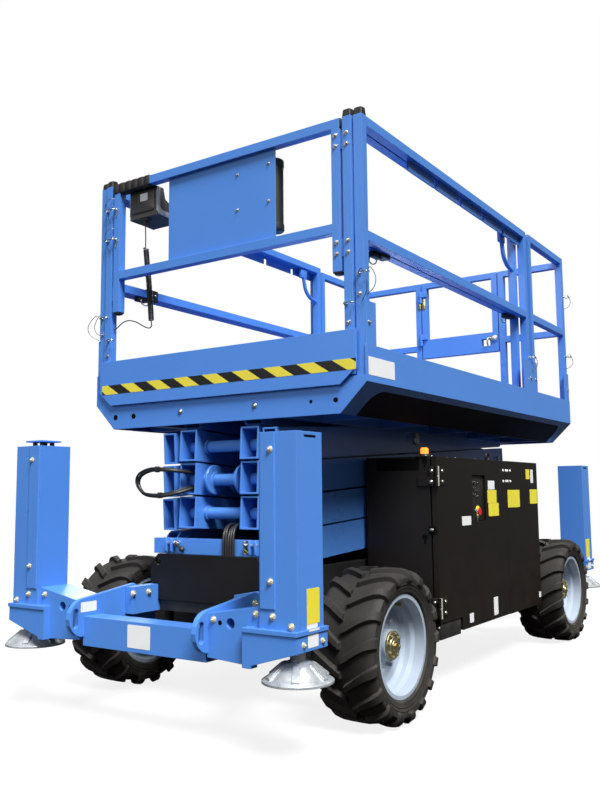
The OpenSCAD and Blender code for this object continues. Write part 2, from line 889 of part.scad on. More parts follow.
module outer_arm(level) {
    front_tail = level == 1 ? end_r : arm_tail;
    rear_tail = level == 4 ? end_r : arm_tail;
    color(blue) translate([pin_x, 0, pin_z(level - 1)]) rotate([0, tilt0, 0]) {
        both_sides() difference() {
            union() {
                arm_tube(outer_y, outer_w, front_tail, rear_tail);
                bar_y(-arm_len / 2, 0, outer_in, outer_out, center_pin_r + cross_wall);
            }
            if (level == 1) round_end(0, 1, outer_y, outer_w);
            if (level == 4) round_end(-arm_len, -1, outer_y, outer_w);
            bar_y(-arm_len / 2, 0, outer_in - overrun, outer_out + overrun, center_pin_r + fit);
        }
        if (level == 1) both_sides()
            bar_y(0, 0, outer_in - ear_gap - ear_t - pin_head, outer_out + ear_gap + ear_t + pin_head, shaft_r);
        else outer_shaft(0);
        if (level == 4) both_sides() {
            bar_y(-arm_len, 0, inner_in, outer_out, shaft_r);
            bar_y(-arm_len, 0, inner_in + arm_wall, inner_out - seam, roller_r);
        }
        else outer_shaft(-arm_len);
    }
}

// The shaft that joins the two tubes of an outer arm, with a collar beside each tube
module outer_shaft(x) {
    bar_y(x, 0, -outer_out - pin_head, outer_out + pin_head, shaft_r);
    both_sides() bar_y(x, 0, inner_out + seat, outer_in + overrun, collar_r);
}

module inner_arm(level) {
    rear_tail = level == 1 ? end_r : arm_tail;
    front_tail = level == 4 ? end_r : arm_tail;
    front_gap = fit;
    color(blue) translate([pin_x, 0, pin_z(level)]) rotate([0, -tilt0, 0]) {
        difference() {
            union() {
                both_sides() {
                    difference() {
                        arm_tube(inner_y, inner_w, front_tail, rear_tail);
                        if (level == 4) round_end(0, 1, inner_y, inner_w);
                        if (level == 1) round_end(-arm_len, -1, inner_y, inner_w);
                    }
                    bar_y(-arm_len / 2, 0, inner_in, outer_out + pin_head, center_pin_r);
                }
                for (x = [0, -arm_len]) bar_y(x, 0, -inner_out, inner_out, cross_r);
                both_sides() for (x = [0, -arm_len])
                    bar_y(x, 0, inner_in - collar_w, inner_in + overrun, collar_r);
                if (level == 2) cylinder_lugs(-lower_eye_share * arm_len, 0);
                if (level == 4) cylinder_lugs(-upper_eye_share * arm_len, 0);
            }
            if (level != 4) bar_y(0, 0, -inner_out - overrun, inner_out + overrun, shaft_r + fit);
            if (level != 1) bar_y(-arm_len, 0, -inner_out - overrun, inner_out + overrun, shaft_r + open_gap);
        }
        if (level == 4) both_sides() bar_y(0, 0, inner_in, deck_ear_out + pin_head, shaft_r);
        if (level == 1) both_sides() {
            bar_y(-arm_len, 0, inner_in, outer_out - seam, shaft_r);
            bar_y(-arm_len, 0, outer_in + seam, outer_out - seam, roller_r);
        }
    }
}

collar_w = 14;
lower_eye_share = 0.06;
upper_eye_share = 0.83;
lug_in = 66;
lug_t = 16;
lug_r = 56;
eye_pin_r = 20;

// A cross pipe between the inner tubes with two round lugs and the pin of the lift cylinder
module cylinder_lugs(x, z) {
    both_sides() {
        bar_y(x, z, lug_in, lug_in + lug_t, lug_r);
        bar_y(x, z, lug_in, inner_in + overrun, cross_r);
    }
    bar_y(x, z, -lug_in - lug_t, lug_in + lug_t, eye_pin_r);
}

module outer_arm_1() { outer_arm(1); }
module outer_arm_2() { outer_arm(2); }
module outer_arm_3() { outer_arm(3); }
module outer_arm_4() { outer_arm(4); }
module inner_arm_1() { inner_arm(1); }
module inner_arm_2() { inner_arm(2); }
module inner_arm_3() { inner_arm(3); }
module inner_arm_4() { inner_arm(4); }

// Lift cylinder between the second and the fourth inner arm

eye_low_x = pin_x - lower_eye_share * arm_reach;
eye_low_z = pin_z(2) - lower_eye_share * row_pitch;
eye_top_x = pin_x - upper_eye_share * arm_reach;
eye_top_z = pin_z(4) - upper_eye_share * row_pitch;
cyl_len = norm([eye_low_x - eye_top_x, eye_top_z - eye_low_z]);
cyl_tilt = atan2(eye_top_z - eye_low_z, eye_low_x - eye_top_x);
eye_out_r = 46;
eye_half = lug_in - run_gap;
barrel_from = 70;
gland_len = 60;
barrel_share = 0.9;
ram_bore_r = ram_r + run_gap;

module along_cylinder() {
    translate([eye_low_x, 0, eye_low_z]) rotate([0, cyl_tilt, 0]) children();
}

module cylinder_barrel() {
    barrel_to = barrel_share * cyl_len;
    color(black) along_cylinder() difference() {
        union() {
            bar_y(0, 0, -eye_half, eye_half, eye_out_r);
            bar_x(0, 0, -barrel_to, -eye_out_r + overrun, barrel_r);
            bar_x(0, 0, -barrel_to, -barrel_to + gland_len, barrel_r + seam);
        }
        bar_y(0, 0, -eye_half - overrun, eye_half + overrun, eye_pin_r + fit);
        bar_x(0, 0, -barrel_to + gland_len - overrun, -eye_out_r - barrel_r, ram_bore_r);
        bar_x(0, 0, -barrel_to - overrun, -barrel_to + gland_len, ram_r + fit);
    }
}

module cylinder_rod() {
    color(zinc) along_cylinder() difference() {
        union() {
            bar_x(0, 0, -cyl_len + eye_out_r / 2, -2 * barrel_from - barrel_r, ram_r);
            bar_y(-cyl_len, 0, -eye_half, eye_half, eye_out_r);
        }
        bar_y(-cyl_len, 0, -eye_half - overrun, eye_half + overrun, eye_pin_r + open_gap);
    }
}

// Main deck: floor plate, bevelled side skirts, end plates, keel beams, roller tracks and pin ears

beam_gap = 14;
beam_in_y = outer_out + beam_gap;
beam_w = 60;
deck_low = deck_top - deck_t;
deck_track_low = pin_z(4) + roller_r + seat;
deck_track_half = 52;
deck_ear_in = inner_out + ear_gap;
deck_ear_out = deck_ear_in + ear_t;
joist_count = 5;
joist_t = 40;
gate_low_y = -270;
gate_high_y = 330;
gate_post_gap = 8;
tread_half = 690;
tread_t = 3;
socket_w = 80;
pair_socket_w = 230;
socket_top = 1750;
face_hole_r = 11;
face_hole_up = 58;
face_hole_shares = [-0.821, -0.662, 0.812];

module main_deck() {
    color(blue) {
        span([deck_rear, -deck_half + sheet_t / 2, deck_low],
             [deck_front, deck_half - sheet_t / 2, deck_top]);
        both_sides() {
            span([deck_rear, deck_half - sheet_t, skirt_low], [deck_front, deck_half, toe_top]);
            plate_yz([
                [deck_half, skirt_low],
                [deck_half, skirt_low + sheet_t],
                [keel_half, keel_low + sheet_t],
                [keel_half - sheet_t, keel_low + sheet_t],
                [keel_half - sheet_t, keel_low],
                [keel_half, keel_low]
            ], deck_rear, deck_front);
            span([deck_rear, beam_in_y, keel_low], [deck_front, beam_in_y + beam_w, deck_low + deck_t / 2]);
            span([-pin_x - arm_tail, inner_y - deck_track_half, deck_track_low],
                 [track_front, inner_y + deck_track_half, deck_low + deck_t / 2]);
            deck_ear();
            for (place = [front_post - socket_w, mid_post_x - tube_w - pair_gap - run_gap, rear_post])
                span([place, deck_half - sheet_t, toe_top - sheet_t],
                     [place + (place == mid_post_x - tube_w - pair_gap - run_gap ? pair_socket_w : socket_w),
                      deck_half, socket_top]);
            for (i = [0:joist_count - 1])
                deck_joist(deck_rear + (deck_front - deck_rear) * (i + 1 / 2) / joist_count);
        }
        end_plate(deck_rear, deck_rear + sheet_t);
        difference() {
            end_plate(deck_front - sheet_t, deck_front);
            for (share = face_hole_shares)
                bar_x(share * deck_half, keel_low + face_hole_up, deck_front - 2 * sheet_t, deck_front + overrun,
                      face_hole_r);
        }
        // Tread plate on the part of the floor that the extension leaves free
        span([rear_post + tube_w + run_gap, -tread_half, deck_low + deck_t / 2],
             [ext_rear - run_gap, tread_half, deck_top + tread_t]);
        // Toe boards at the rear, beside the gateway
        span([deck_rear, gate_high_y + tube_w, deck_top - deck_t / 2],
             [deck_rear + sheet_t, deck_half - sheet_t / 2, toe_top]);
        span([deck_rear, -deck_half + sheet_t / 2, deck_top - deck_t / 2],
             [deck_rear + sheet_t, gate_low_y - tube_w, toe_top]);
    }
}

module end_plate(x_from, x_to) {
    plate_yz([
        [-deck_half, deck_low],
        [-deck_half, skirt_low],
        [-keel_half, keel_low],
        [keel_half, keel_low],
        [deck_half, skirt_low],
        [deck_half, deck_low]
    ], x_from, x_to);
}

module deck_joist(x) {
    plate_yz([
        [beam_in_y + beam_w - overrun, deck_low + deck_t / 2],
        [beam_in_y + beam_w - overrun, keel_low],
        [keel_half, keel_low],
        [deck_half - sheet_t, skirt_low],
        [deck_half - sheet_t, deck_low + deck_t / 2]
    ], x - joist_t / 2, x + joist_t / 2);
}

module deck_ear() {
    difference() {
        union() {
            bar_y(pin_x, pin_z(4), deck_ear_in, deck_ear_out, ear_r);
            span([pin_x - ear_r, deck_ear_in, pin_z(4)],
                 [pin_x + ear_r, deck_ear_out, deck_low + deck_t / 2]);
        }
        bar_y(pin_x, pin_z(4), deck_ear_in - overrun, deck_ear_out + overrun, shaft_r + fit);
    }
}

// Guard rails, each tube a bar of its own set against its neighbour

rail_y = deck_half - sheet_t - tube_w;
front_post = deck_front - run_gap;
rear_post = deck_rear + sheet_t;
pair_gap = 48;
notch_bar_h = 50;
notch_bar_w = 8;
notch_bar_in = 7;
notch_bar_front = 877;
notch_bar_rear = -632;
notch_w = 34;
notch_h = 42;
notch_shares = [0.186, 0.392, 0.598, 0.804];

// An upright tube on the deck
module post(x, y, z_from, z_to) {
    span([x, y, z_from], [x + tube_w, y + tube_w, z_to]);
}

module side_rails() {
    back_x = mid_post_x - tube_w - pair_gap;
    post(front_post - tube_w, rail_y, deck_top, rail_top);
    post(mid_post_x, rail_y, deck_top, rail_top - tube_w - weld);
    post(back_x, rail_y, deck_top, rail_top);
    post(rear_post, rail_y, deck_top, rail_top - tube_w - weld);
    rail_bar(mid_post_x, front_post - tube_w - weld, rail_top - tube_w);
    rail_bar(mid_post_x + tube_w + weld, front_post - tube_w - weld, mid_low);
    rail_bar(rear_post, back_x - weld, rail_top - tube_w);
    rail_bar(rear_post + tube_w + weld, back_x - weld, mid_low);
    notch_bar();
}

// The notched plate under the top rail, which locks the extension in steps
module notch_bar() {
    top_z = rail_top - tube_w - weld;
    low_z = top_z - notch_bar_h;
    plate_xz(concat(
        [[notch_bar_rear, top_z], [notch_bar_rear, low_z]],
        [for (share = notch_shares)
            let (x = notch_bar_rear + share * (notch_bar_front - notch_bar_rear))
            each [[x - notch_w / 2, low_z], [x - notch_w / 2, low_z + notch_h],
                  [x + notch_w / 2, low_z + notch_h], [x + notch_w / 2, low_z]]],
        [[notch_bar_front, low_z], [notch_bar_front, top_z]]
    ), rail_y + notch_bar_in, rail_y + notch_bar_in + notch_bar_w);
}

// A lengthwise tube
module rail_bar(x_from, x_to, z) {
    span([x_from, rail_y, z], [x_to, rail_y + tube_w, z + tube_w]);
}

module left_rails() { color(blue) side_rails(); }
module right_rails() { color(blue) mirror([0, 1, 0]) side_rails(); }

rear_drop = 27;
rear_top = rail_top - rear_drop;
gate_bar_low = 1958;
gate_bar_h = 143;
gate_hole_in = 62;
gate_hole_w = 66;
gate_hole_h = 52;

module rear_panel(y_from, y_to, post_y) {
    post(rear_post, post_y, deck_top, rear_top);
    for (z = [rear_top - tube_w, mid_low])
        span([rear_post, y_from, z], [rear_post + tube_w, y_to, z + tube_w]);
}

module rear_rails() {
    left_post = gate_high_y + gate_post_gap;
    right_post = gate_low_y - gate_post_gap - tube_w;
    color(blue) {
        rear_panel(left_post + tube_w + weld, rail_y - weld, left_post);
        rear_panel(-rail_y + weld, right_post - weld, right_post);
        for (z = gate_hinge_shares) gate_pin(rear_top * z);
    }
}

gate_hinge_shares = [0.81, 0.94];
gate_pin_r = 6;
gate_hinge_x = rear_post + tube_w + hinge_r;
gate_hinge_y = gate_low_y - gate_post_gap / 2;
gate_knuckle_h = 40;

// The fixed half of a gate hinge
module gate_pin(z) {
    right_post = gate_low_y - gate_post_gap - tube_w;
    span([rear_post + tube_w, right_post + tube_w / 2, z], [gate_hinge_x, gate_hinge_y, z + gate_knuckle_h]);
    bar_z(gate_hinge_x, gate_hinge_y, z, z + gate_knuckle_h, hinge_r);
    bar_z(gate_hinge_x, gate_hinge_y, z, z + 2 * gate_knuckle_h, gate_pin_r);
}

module gate() {
    top_z = rear_top - tube_w - weld;
    side_low = gate_bar_low + gate_bar_h + weld;
    gate_hole_low = gate_bar_low + (gate_bar_h - gate_hole_h) / 2;
    color(blue) {
        span([rear_post, gate_low_y, rear_top - tube_w], [rear_post + tube_w, gate_high_y, rear_top]);
        difference() {
            span([rear_post, gate_low_y, gate_bar_low],
                 [rear_post + tube_w, gate_high_y, gate_bar_low + gate_bar_h]);
            span([rear_post - overrun, gate_high_y - gate_hole_in - gate_hole_w, gate_hole_low],
                 [rear_post + tube_w + overrun, gate_high_y - gate_hole_in, gate_hole_low + gate_hole_h]);
        }
        for (y = [gate_low_y, gate_high_y - tube_w])
            span([rear_post, y, side_low], [rear_post + tube_w, y + tube_w, top_z]);
        for (z = gate_hinge_shares) gate_knuckle(rear_top * z + gate_knuckle_h + seam);
    }
}

module gate_knuckle(z) {
    difference() {
        union() {
            bar_z(gate_hinge_x, gate_hinge_y, z, z + gate_knuckle_h, hinge_r);
            span([rear_post + tube_w + weld, gate_hinge_y, z],
                 [gate_hinge_x + hinge_pin_r, gate_low_y + tube_w, z + gate_knuckle_h]);
        }
        bar_z(gate_hinge_x, gate_hinge_y, z - overrun, z + gate_knuckle_h + overrun, gate_pin_r + fit);
    }
}

// Extension deck, its rails and the upper controls

ext_low = deck_top + run_gap;
ext_top = ext_low + ext_t;
ext_side_gap = 7;
ext_y = rail_y - ext_side_gap;
board_x = deck_front + run_gap;
runner_w = 40;
board_bevel_y = 80;
board_bevel_z = 66;

module extension_deck() {
    color(blue) {
        span([ext_rear, -ext_y, ext_low], [board_x + overrun, ext_y, ext_top]);
        both_sides() span([ext_rear, ext_y - 3 * runner_w, deck_top + seat],
                          [deck_front - runner_w, ext_y - 2 * runner_w, ext_low + ext_t / 2]);
        plate_yz([
            [-board_half, board_top],
            [-board_half, board_low + board_bevel_z],
            [-board_half + board_bevel_y, board_low],
            [board_half - board_bevel_y, board_low],
            [board_half, board_low + board_bevel_z],
            [board_half, board_top]
        ], board_x, board_x + board_t);
    }
}

ext_post_x = board_x - tube_w - weld;
ext_back_x = ext_rear + tube_w;
frame_gap = 14;
spacer_in = 9;
spacer_h = 75;
spacer_low_shares = [0.457, 0.877];
front_rail_half = ext_y - tube_w - frame_gap;
front_leg_share = 0.6;
front_leg_low = rail_top - front_leg_share * (rail_top - deck_top);
panel_left = 336;
panel_gap = 108;
panel_sheet = 4;
panel_set = 18;
panel_lift = 5;
box_d = 175;
box_w = 187;
box_h = 153;
box_side_gap = 33;
box_front = ext_post_x - weld;
box_top = rail_top - tube_w - seat;
box_low = box_top - box_h + seat;
box_right = -(front_rail_half - tube_w - box_side_gap);
box_left = box_right + box_w;
panel_right = box_left + panel_gap;

module extension_rails() {
    bar_z_top = rail_top - tube_w;
    color(blue) {
        both_sides() {
            post(ext_post_x, ext_y - tube_w, ext_top, rail_top);
            post(ext_back_x, ext_y - tube_w, ext_top, bar_z_top - weld);
            span([ext_back_x, ext_y - tube_w, bar_z_top], [ext_post_x - weld, ext_y, rail_top]);
            span([ext_back_x + tube_w + weld, ext_y - tube_w, mid_low],
                 [ext_post_x - weld, ext_y, mid_low + tube_w]);
            post(ext_post_x, front_rail_half - tube_w, front_leg_low, bar_z_top - weld);
        }
        front_y = front_rail_half - tube_w - weld;
        span([ext_post_x, -front_rail_half, bar_z_top], [ext_post_x + tube_w, front_rail_half, rail_top]);
        span([ext_post_x, -front_y, mid_low + tube_w], [ext_post_x + tube_w, front_y, mid_low + 2 * tube_w]);
        span([ext_post_x + panel_set, panel_right, mid_low + 2 * tube_w + panel_lift],
             [ext_post_x + panel_set + panel_sheet, panel_left, bar_z_top - weld]);
        // Spacers that the front frame is bolted to its posts through
        for (share = spacer_low_shares) {
            z = deck_top + share * (rail_top - deck_top);
            both_sides() span([ext_post_x + spacer_in, front_rail_half + weld, z],
                              [ext_post_x + tube_w - spacer_in, ext_y - tube_w - weld, z + spacer_h]);
        }
    }
}

box_head = 50;
box_knee_in = 65;
box_knee_drop = 55;
box_rear_drop = 100;
box_lip = 20;
stick_r = 7;
knob_r = 13;
stick_h = 48;
stick_in = 110;
stop_r = 16;
stop_h = 18;
stop_in = 100;
control_sink = 6;

// Height of the sloping face, by its distance from the front
function box_face(back) =
    box_top - box_knee_drop
    - (box_rear_drop - box_knee_drop) * (back - box_knee_in) / (box_d - box_lip - box_knee_in);

module control_box() {
    rear_x = box_front - box_d;
    color(dark_grey) {
        plate_xz([
            [box_front, box_top],
            [box_front - box_head, box_top],
            [box_front - box_knee_in, box_top - box_knee_drop],
            [rear_x + box_lip, box_top - box_rear_drop],
            [rear_x, box_top - box_rear_drop],
            [rear_x, box_low],
            [box_front, box_low]
        ], box_right, box_left);
        translate([box_front - stick_in, box_right + box_w / 3, box_face(stick_in) - control_sink]) {
            cylinder(r = stick_r, h = stick_h);
            translate([0, 0, stick_h]) sphere(r = knob_r);
        }
        translate([box_front - stop_in, box_left - box_w / 4, box_face(stop_in) - control_sink])
            cylinder(r = stop_r, h = stop_h);
    }
}

tube_y = 301;
tube_d_r = 42;
tube_x = ext_post_x + panel_set - seat - tube_d_r;
tube_drop = 85;
tube_len = 327;
tube_top = rail_top - tube_drop;
tube_low = tube_top - tube_len;
tube_cap_h = 26;
tube_cap_t = 3;

module document_tube() {
    color(black) {
        bar_z(tube_x, tube_y, tube_low, tube_top, tube_d_r - tube_cap_t);
        bar_z(tube_x, tube_y, tube_low, tube_low + tube_cap_h, tube_d_r);
        bar_z(tube_x, tube_y, tube_top - tube_cap_h, tube_top, tube_d_r);
    }
}

// Cord of the control box: a plain lead, a curly stretch and a plain tail into the corner post

lead_r = 3;
coil_r = 15;
// Heights are shares of the way from the floor up to the control box
lead_places = [[1312, -530], [1311, -531], [1304, -534.5], [1300, -538.25], [1300, -537.05]];
lead_shares = [0.999572, 0.971123, 0.906952, 0.859251, 0.848556];
coil_places = [[1300, -537], [1300, -525], [1300, -512], [1300, -501], [1300, -491]];
coil_shares = [0.848128, 0.741176, 0.641711, 0.527273, 0.411765];
tail_places = [[1300, -490.96], [1300, -489.6], [1305, -505], [1312, -540], [1320, -580], [1330, -622],
               [1340, -655], [1350, -685], [1354, -697], [1354, -705.6]];
tail_shares = [0.411337, 0.395615, 0.385027, 0.401070, 0.425668, 0.437433, 0.428877, 0.401070,
               0.392513, 0.392513];

function hung(places, shares) =
    [for (i = [0:len(shares) - 1]) [places[i].x, places[i].y, deck_top + shares[i] * (box_low - deck_top)]];

function unit(v) = v / norm(v);
function heading(route, i) =
    unit(route[min(i + 1, len(route) - 1)] - route[max(i - 1, 0)]);
function side_of(d) = unit(cross(d, [0.31, 0.95, 0.04]));

// A round tube swept along a route
module sweep(route, r, sides) {
    rings = len(route);
    points = [for (i = [0:rings - 1])
        let (d = heading(route, i), a = side_of(d), b = cross(d, a))
        for (s = [0:sides - 1]) route[i] + r * (cos(s * 360 / sides) * a + sin(s * 360 / sides) * b)];
    walls = [for (i = [0:rings - 2]) for (s = [0:sides - 1])
        let (a = i * sides + s, b = i * sides + (s + 1) % sides, c = b + sides, d = a + sides)
        each [[a, b, c], [a, c, d]]];
    first = [for (s = [sides - 1:-1:0]) s];
    last = [for (s = [0:sides - 1]) (rings - 1) * sides + s];
    polyhedron(points = points, faces = concat([first], walls, [last]));
}

module cord_lead() { color(black) sweep(hung(lead_places, lead_shares), lead_r, 8); }
module cord_coil() { color(black) sweep(hung(coil_places, coil_shares), coil_r, 12); }
module cord_tail() { color(black) sweep(hung(tail_places, tail_shares), lead_r, 8); }

chassis_frame();
front_guard();
front_axle();
rear_axle();
front_outrigger_frame();
rear_outrigger_frame();
left_cabinet();
right_cabinet();
engine_block();
oil_tank();
beacon();
entry_ladder();
left_door();
right_door();
foot_fl();
foot_fr();
foot_rl();
foot_rr();
knuckle_fl();
knuckle_fr();
tie_rod();
tyre_fl();
tyre_fr();
tyre_rl();
tyre_rr();
rim_fl();
rim_fr();
rim_rl();
rim_rr();
outer_arm_1();
outer_arm_2();
outer_arm_3();
outer_arm_4();
inner_arm_1();
inner_arm_2();
inner_arm_3();
inner_arm_4();
cylinder_barrel();
cylinder_rod();
main_deck();
left_rails();
right_rails();
rear_rails();
gate();
extension_deck();
extension_rails();
control_box();
document_tube();
cord_lead();
cord_coil();
cord_tail();
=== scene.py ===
import math

import bmesh
import bpy
from mathutils import Matrix, Vector


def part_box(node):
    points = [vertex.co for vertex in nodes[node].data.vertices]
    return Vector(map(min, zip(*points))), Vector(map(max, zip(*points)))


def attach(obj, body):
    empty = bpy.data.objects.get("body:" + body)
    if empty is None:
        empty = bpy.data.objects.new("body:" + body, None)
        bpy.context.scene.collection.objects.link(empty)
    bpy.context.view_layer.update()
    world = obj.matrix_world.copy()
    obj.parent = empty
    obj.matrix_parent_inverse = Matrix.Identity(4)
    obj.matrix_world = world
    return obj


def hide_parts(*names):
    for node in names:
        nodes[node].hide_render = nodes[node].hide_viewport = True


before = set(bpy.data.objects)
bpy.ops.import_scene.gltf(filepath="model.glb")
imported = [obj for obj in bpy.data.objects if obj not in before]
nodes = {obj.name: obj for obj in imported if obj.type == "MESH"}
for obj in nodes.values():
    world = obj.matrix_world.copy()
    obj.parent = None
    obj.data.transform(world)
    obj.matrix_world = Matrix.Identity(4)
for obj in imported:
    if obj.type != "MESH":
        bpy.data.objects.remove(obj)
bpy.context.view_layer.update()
print("frame loaded:", len(nodes), "nodes")

# Camera

view = {
    "place": (4.3325, 2.4919, 0.9565),  # metres, in the machine's frame
    "yaw": 214.313,  # degrees from +X
    "pitch": 6.326,
    "roll": -0.502,
    "focalPixels": 834.54,
    "frameHeight": 800,
    "sensorHeight": 36.0,
}


def makeCamera(values):
    yaw, pitch, roll = (math.radians(values[k]) for k in ("yaw", "pitch", "roll"))
    ahead = Vector((math.cos(yaw) * math.cos(pitch), math.sin(yaw) * math.cos(pitch), math.sin(pitch)))
    right = ahead.cross(Vector((0, 0, 1))).normalized()
    up = right.cross(ahead)
    turnedRight = math.cos(roll) * right + math.sin(roll) * up
    turnedUp = -math.sin(roll) * right + math.cos(roll) * up
    data = bpy.data.cameras.new("photoCamera")
    data.sensor_fit = "VERTICAL"
    data.sensor_height = values["sensorHeight"]
    data.lens = values["focalPixels"] / values["frameHeight"] * values["sensorHeight"]
    camera = bpy.data.objects.new("photoCamera", data)
    axes = Matrix((turnedRight, turnedUp, -ahead)).transposed().to_4x4()
    camera.matrix_world = Matrix.Translation(values["place"]) @ axes
    bpy.context.collection.objects.link(camera)
    bpy.context.scene.camera = camera


makeCamera(view)

# Control cord: a plain lead, a curly stretch and a plain tail into the corner post

cordValues = {
    "diameter": 0.006,
    "coilRadius": 0.012,  # middle of the cord, out from the coil's axis
    "pitch": 0.0071,
    "pointsPerTurn": 14,
    "endRun": 0.014,  # along the axis, from the straight cord to the first turn
    "axisPull": 0.012,  # how far each end of that stretch keeps its direction
    "turnPull": 0.045,
    "lead": [(1.312, -0.530, 2.3716), (1.311, -0.531, 2.345), (1.304, -0.5345, 2.285), (1.300, -0.53825, 2.2404),
             (1.300, -0.53705, 2.2304)],
    "coil": [(1.300, -0.537, 2.230), (1.300, -0.525, 2.130), (1.300, -0.512, 2.037), (1.300, -0.501, 1.930),
             (1.300, -0.491, 1.822)],
    "tail": [(1.300, -0.49096, 1.8216), (1.300, -0.4896, 1.8069), (1.305, -0.505, 1.797), (1.312, -0.540, 1.812),
             (1.320, -0.580, 1.835), (1.330, -0.622, 1.846), (1.340, -0.655, 1.838), (1.350, -0.685, 1.812),
             (1.354, -0.697, 1.804), (1.354, -0.7056, 1.804)],
}


def smoothPath(points, steps=6):  # Catmull-Rom curve through the points
    points = [Vector(p) for p in points]
    ends = [2 * points[0] - points[1], *points, 2 * points[-1] - points[-2]]
    path = []
    for a, b, c, d in zip(ends, ends[1:], ends[2:], ends[3:]):
        for i in range(steps):
            t = i / steps
            path.append(0.5 * ((2 * b) + (c - a) * t + (2 * a - 5 * b + 4 * c - d) * t ** 2
                               + (3 * b - a - 3 * c + d) * t ** 3))
    path.append(points[-1])
    return path


def blendPath(start, startWay, end, endWay, steps):  # cubic curve between two points and their directions
    path = []
    for i in range(1, steps):
        t = i / steps
        path.append(start * (2 * t ** 3 - 3 * t ** 2 + 1) + startWay * (t ** 3 - 2 * t ** 2 + t)
                    + end * (3 * t ** 2 - 2 * t ** 3) + endWay * (t ** 3 - t ** 2))
    return path


def curlyPath(values):
    axis = smoothPath(values["coil"], 40)
    lengths = [0.0]
    for a, b in zip(axis, axis[1:]):
        lengths.append(lengths[-1] + (b - a).length)
    radius = values["coilRadius"]
    run = values["endRun"]
    total = lengths[-1] - 2 * run
    turns = round(total / values["pitch"])
    count = turns * values["pointsPerTurn"]
    winding = []
    at = 0
    for i in range(count + 1):
        along = run + total * i / count
        while at < len(lengths) - 2 and lengths[at + 1] < along:
            at += 1
        share = (along - lengths[at]) / (lengths[at + 1] - lengths[at])
        centre = axis[at].lerp(axis[at + 1], share)
        turn = 2 * math.pi * i / values["pointsPerTurn"]
        winding.append(centre + radius * Vector((math.cos(turn), math.sin(turn), 0)))
    steps = values["pointsPerTurn"]
    first = (axis[1] - axis[0]).normalized() * values["axisPull"]
    last = (axis[-1] - axis[-2]).normalized() * values["axisPull"]
    into = (winding[1] - winding[0]).normalized() * values["turnPull"]
    out = (winding[-1] - winding[-2]).normalized() * values["turnPull"]
    return [axis[0], *blendPath(axis[0], first, winding[0], into, steps), *winding,
            *blendPath(winding[-1], out, axis[-1], last, steps), axis[-1]]


def makeCord(values):
    path = smoothPath(values["lead"], 5) + curlyPath(values)[1:-1] + smoothPath(values["tail"], 5)
    curve = bpy.data.curves.new("control_cord", "CURVE")
    curve.dimensions = "3D"
    curve.bevel_depth = 1.0  # times each point's radius, which is also the margin of the box
    curve.bevel_resolution = 2
    curve.use_fill_caps = True
    spline = curve.splines.new("POLY")
    spline.points.add(len(path) - 1)
    for point, place in zip(spline.points, path):
        point.co = (*place, 1.0)
        point.radius = values["diameter"] / 2
    cord = bpy.data.objects.new("control_cord", curve)
    bpy.context.collection.objects.link(cord)
    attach(cord, "extension")
    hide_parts("cord_lead", "cord_coil", "cord_tail")
    return cord


controlCord = makeCord(cordValues)

# Mesh tools

forward, leftward, upward = (1, 0, 0), (0, 1, 0), (0, 0, 1)
bothSides = (1, -1)
skin = 0.001  # how far a trim piece starts inside what carries it, and the usual chamfer


def finishPiece(name, bm, finish, body, smoothAngle=40):
    bmesh.ops.recalc_face_normals(bm, faces=bm.faces)
    mesh = bpy.data.meshes.new(name)
    bm.to_mesh(mesh)
    bm.free()
    mesh.materials.append(materials[finish])
    mesh.shade_smooth()
    mesh.set_sharp_from_angle(angle=math.radians(smoothAngle))
    piece = bpy.data.objects.new(name, mesh)
    bpy.context.collection.objects.link(piece)
    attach(piece, body)
    return piece


def makePiece(name, finish, body, shapes):  # each shape is a mesh tool and its arguments
    bm = bmesh.new()
    for add, *arguments in shapes:
        add(bm, *arguments)
    return finishPiece(name, bm, finish, body)


def boxMiddle(name):
    low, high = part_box(name)
    return (Vector(low) + Vector(high)) / 2


def mirrored(sign, values):  # a range on one side of the machine, in order
    return sorted(sign * value for value in values)


def shifted(start, values):
    return [start + value for value in values]


def inward(values, inset):  # a range with both ends moved in
    low, high = values
    return (low + inset, high - inset)


def joinRings(bm, low, high):  # side faces between two closed rings
    count = len(low)
    return [bm.faces.new((low[i], low[(i + 1) % count], high[(i + 1) % count], high[i])) for i in range(count)]


def addBox(bm, low, high, rounding=0.0, segments=2):
    xs, ys, zs = zip(low, high)
    corners = [bm.verts.new((x, y, z)) for x in xs for y in ys for z in zs]
    quads = ((0, 1, 3, 2), (4, 6, 7, 5), (0, 4, 5, 1), (2, 3, 7, 6), (0, 2, 6, 4), (1, 5, 7, 3))
    faces = [bm.faces.new([corners[i] for i in quad]) for quad in quads]
    if rounding > 0:
        edges = list({edge for face in faces for edge in face.edges})
        bmesh.ops.bevel(bm, geom=edges, offset=rounding, segments=segments, affect="EDGES", profile=0.5)


def addBlock(bm, xs, ys, zs, rounding=0.0, side=1):  # box from its ranges, on the given side of the machine
    addBox(bm, *zip(xs, mirrored(side, ys), zs), rounding)


def sideways(axis):  # two directions square to an axis
    axis = Vector(axis).normalized()
    helper = Vector(upward) if abs(axis.z) < 0.9 else Vector(forward)
    first = axis.cross(helper).normalized()
    return first, axis.cross(first)


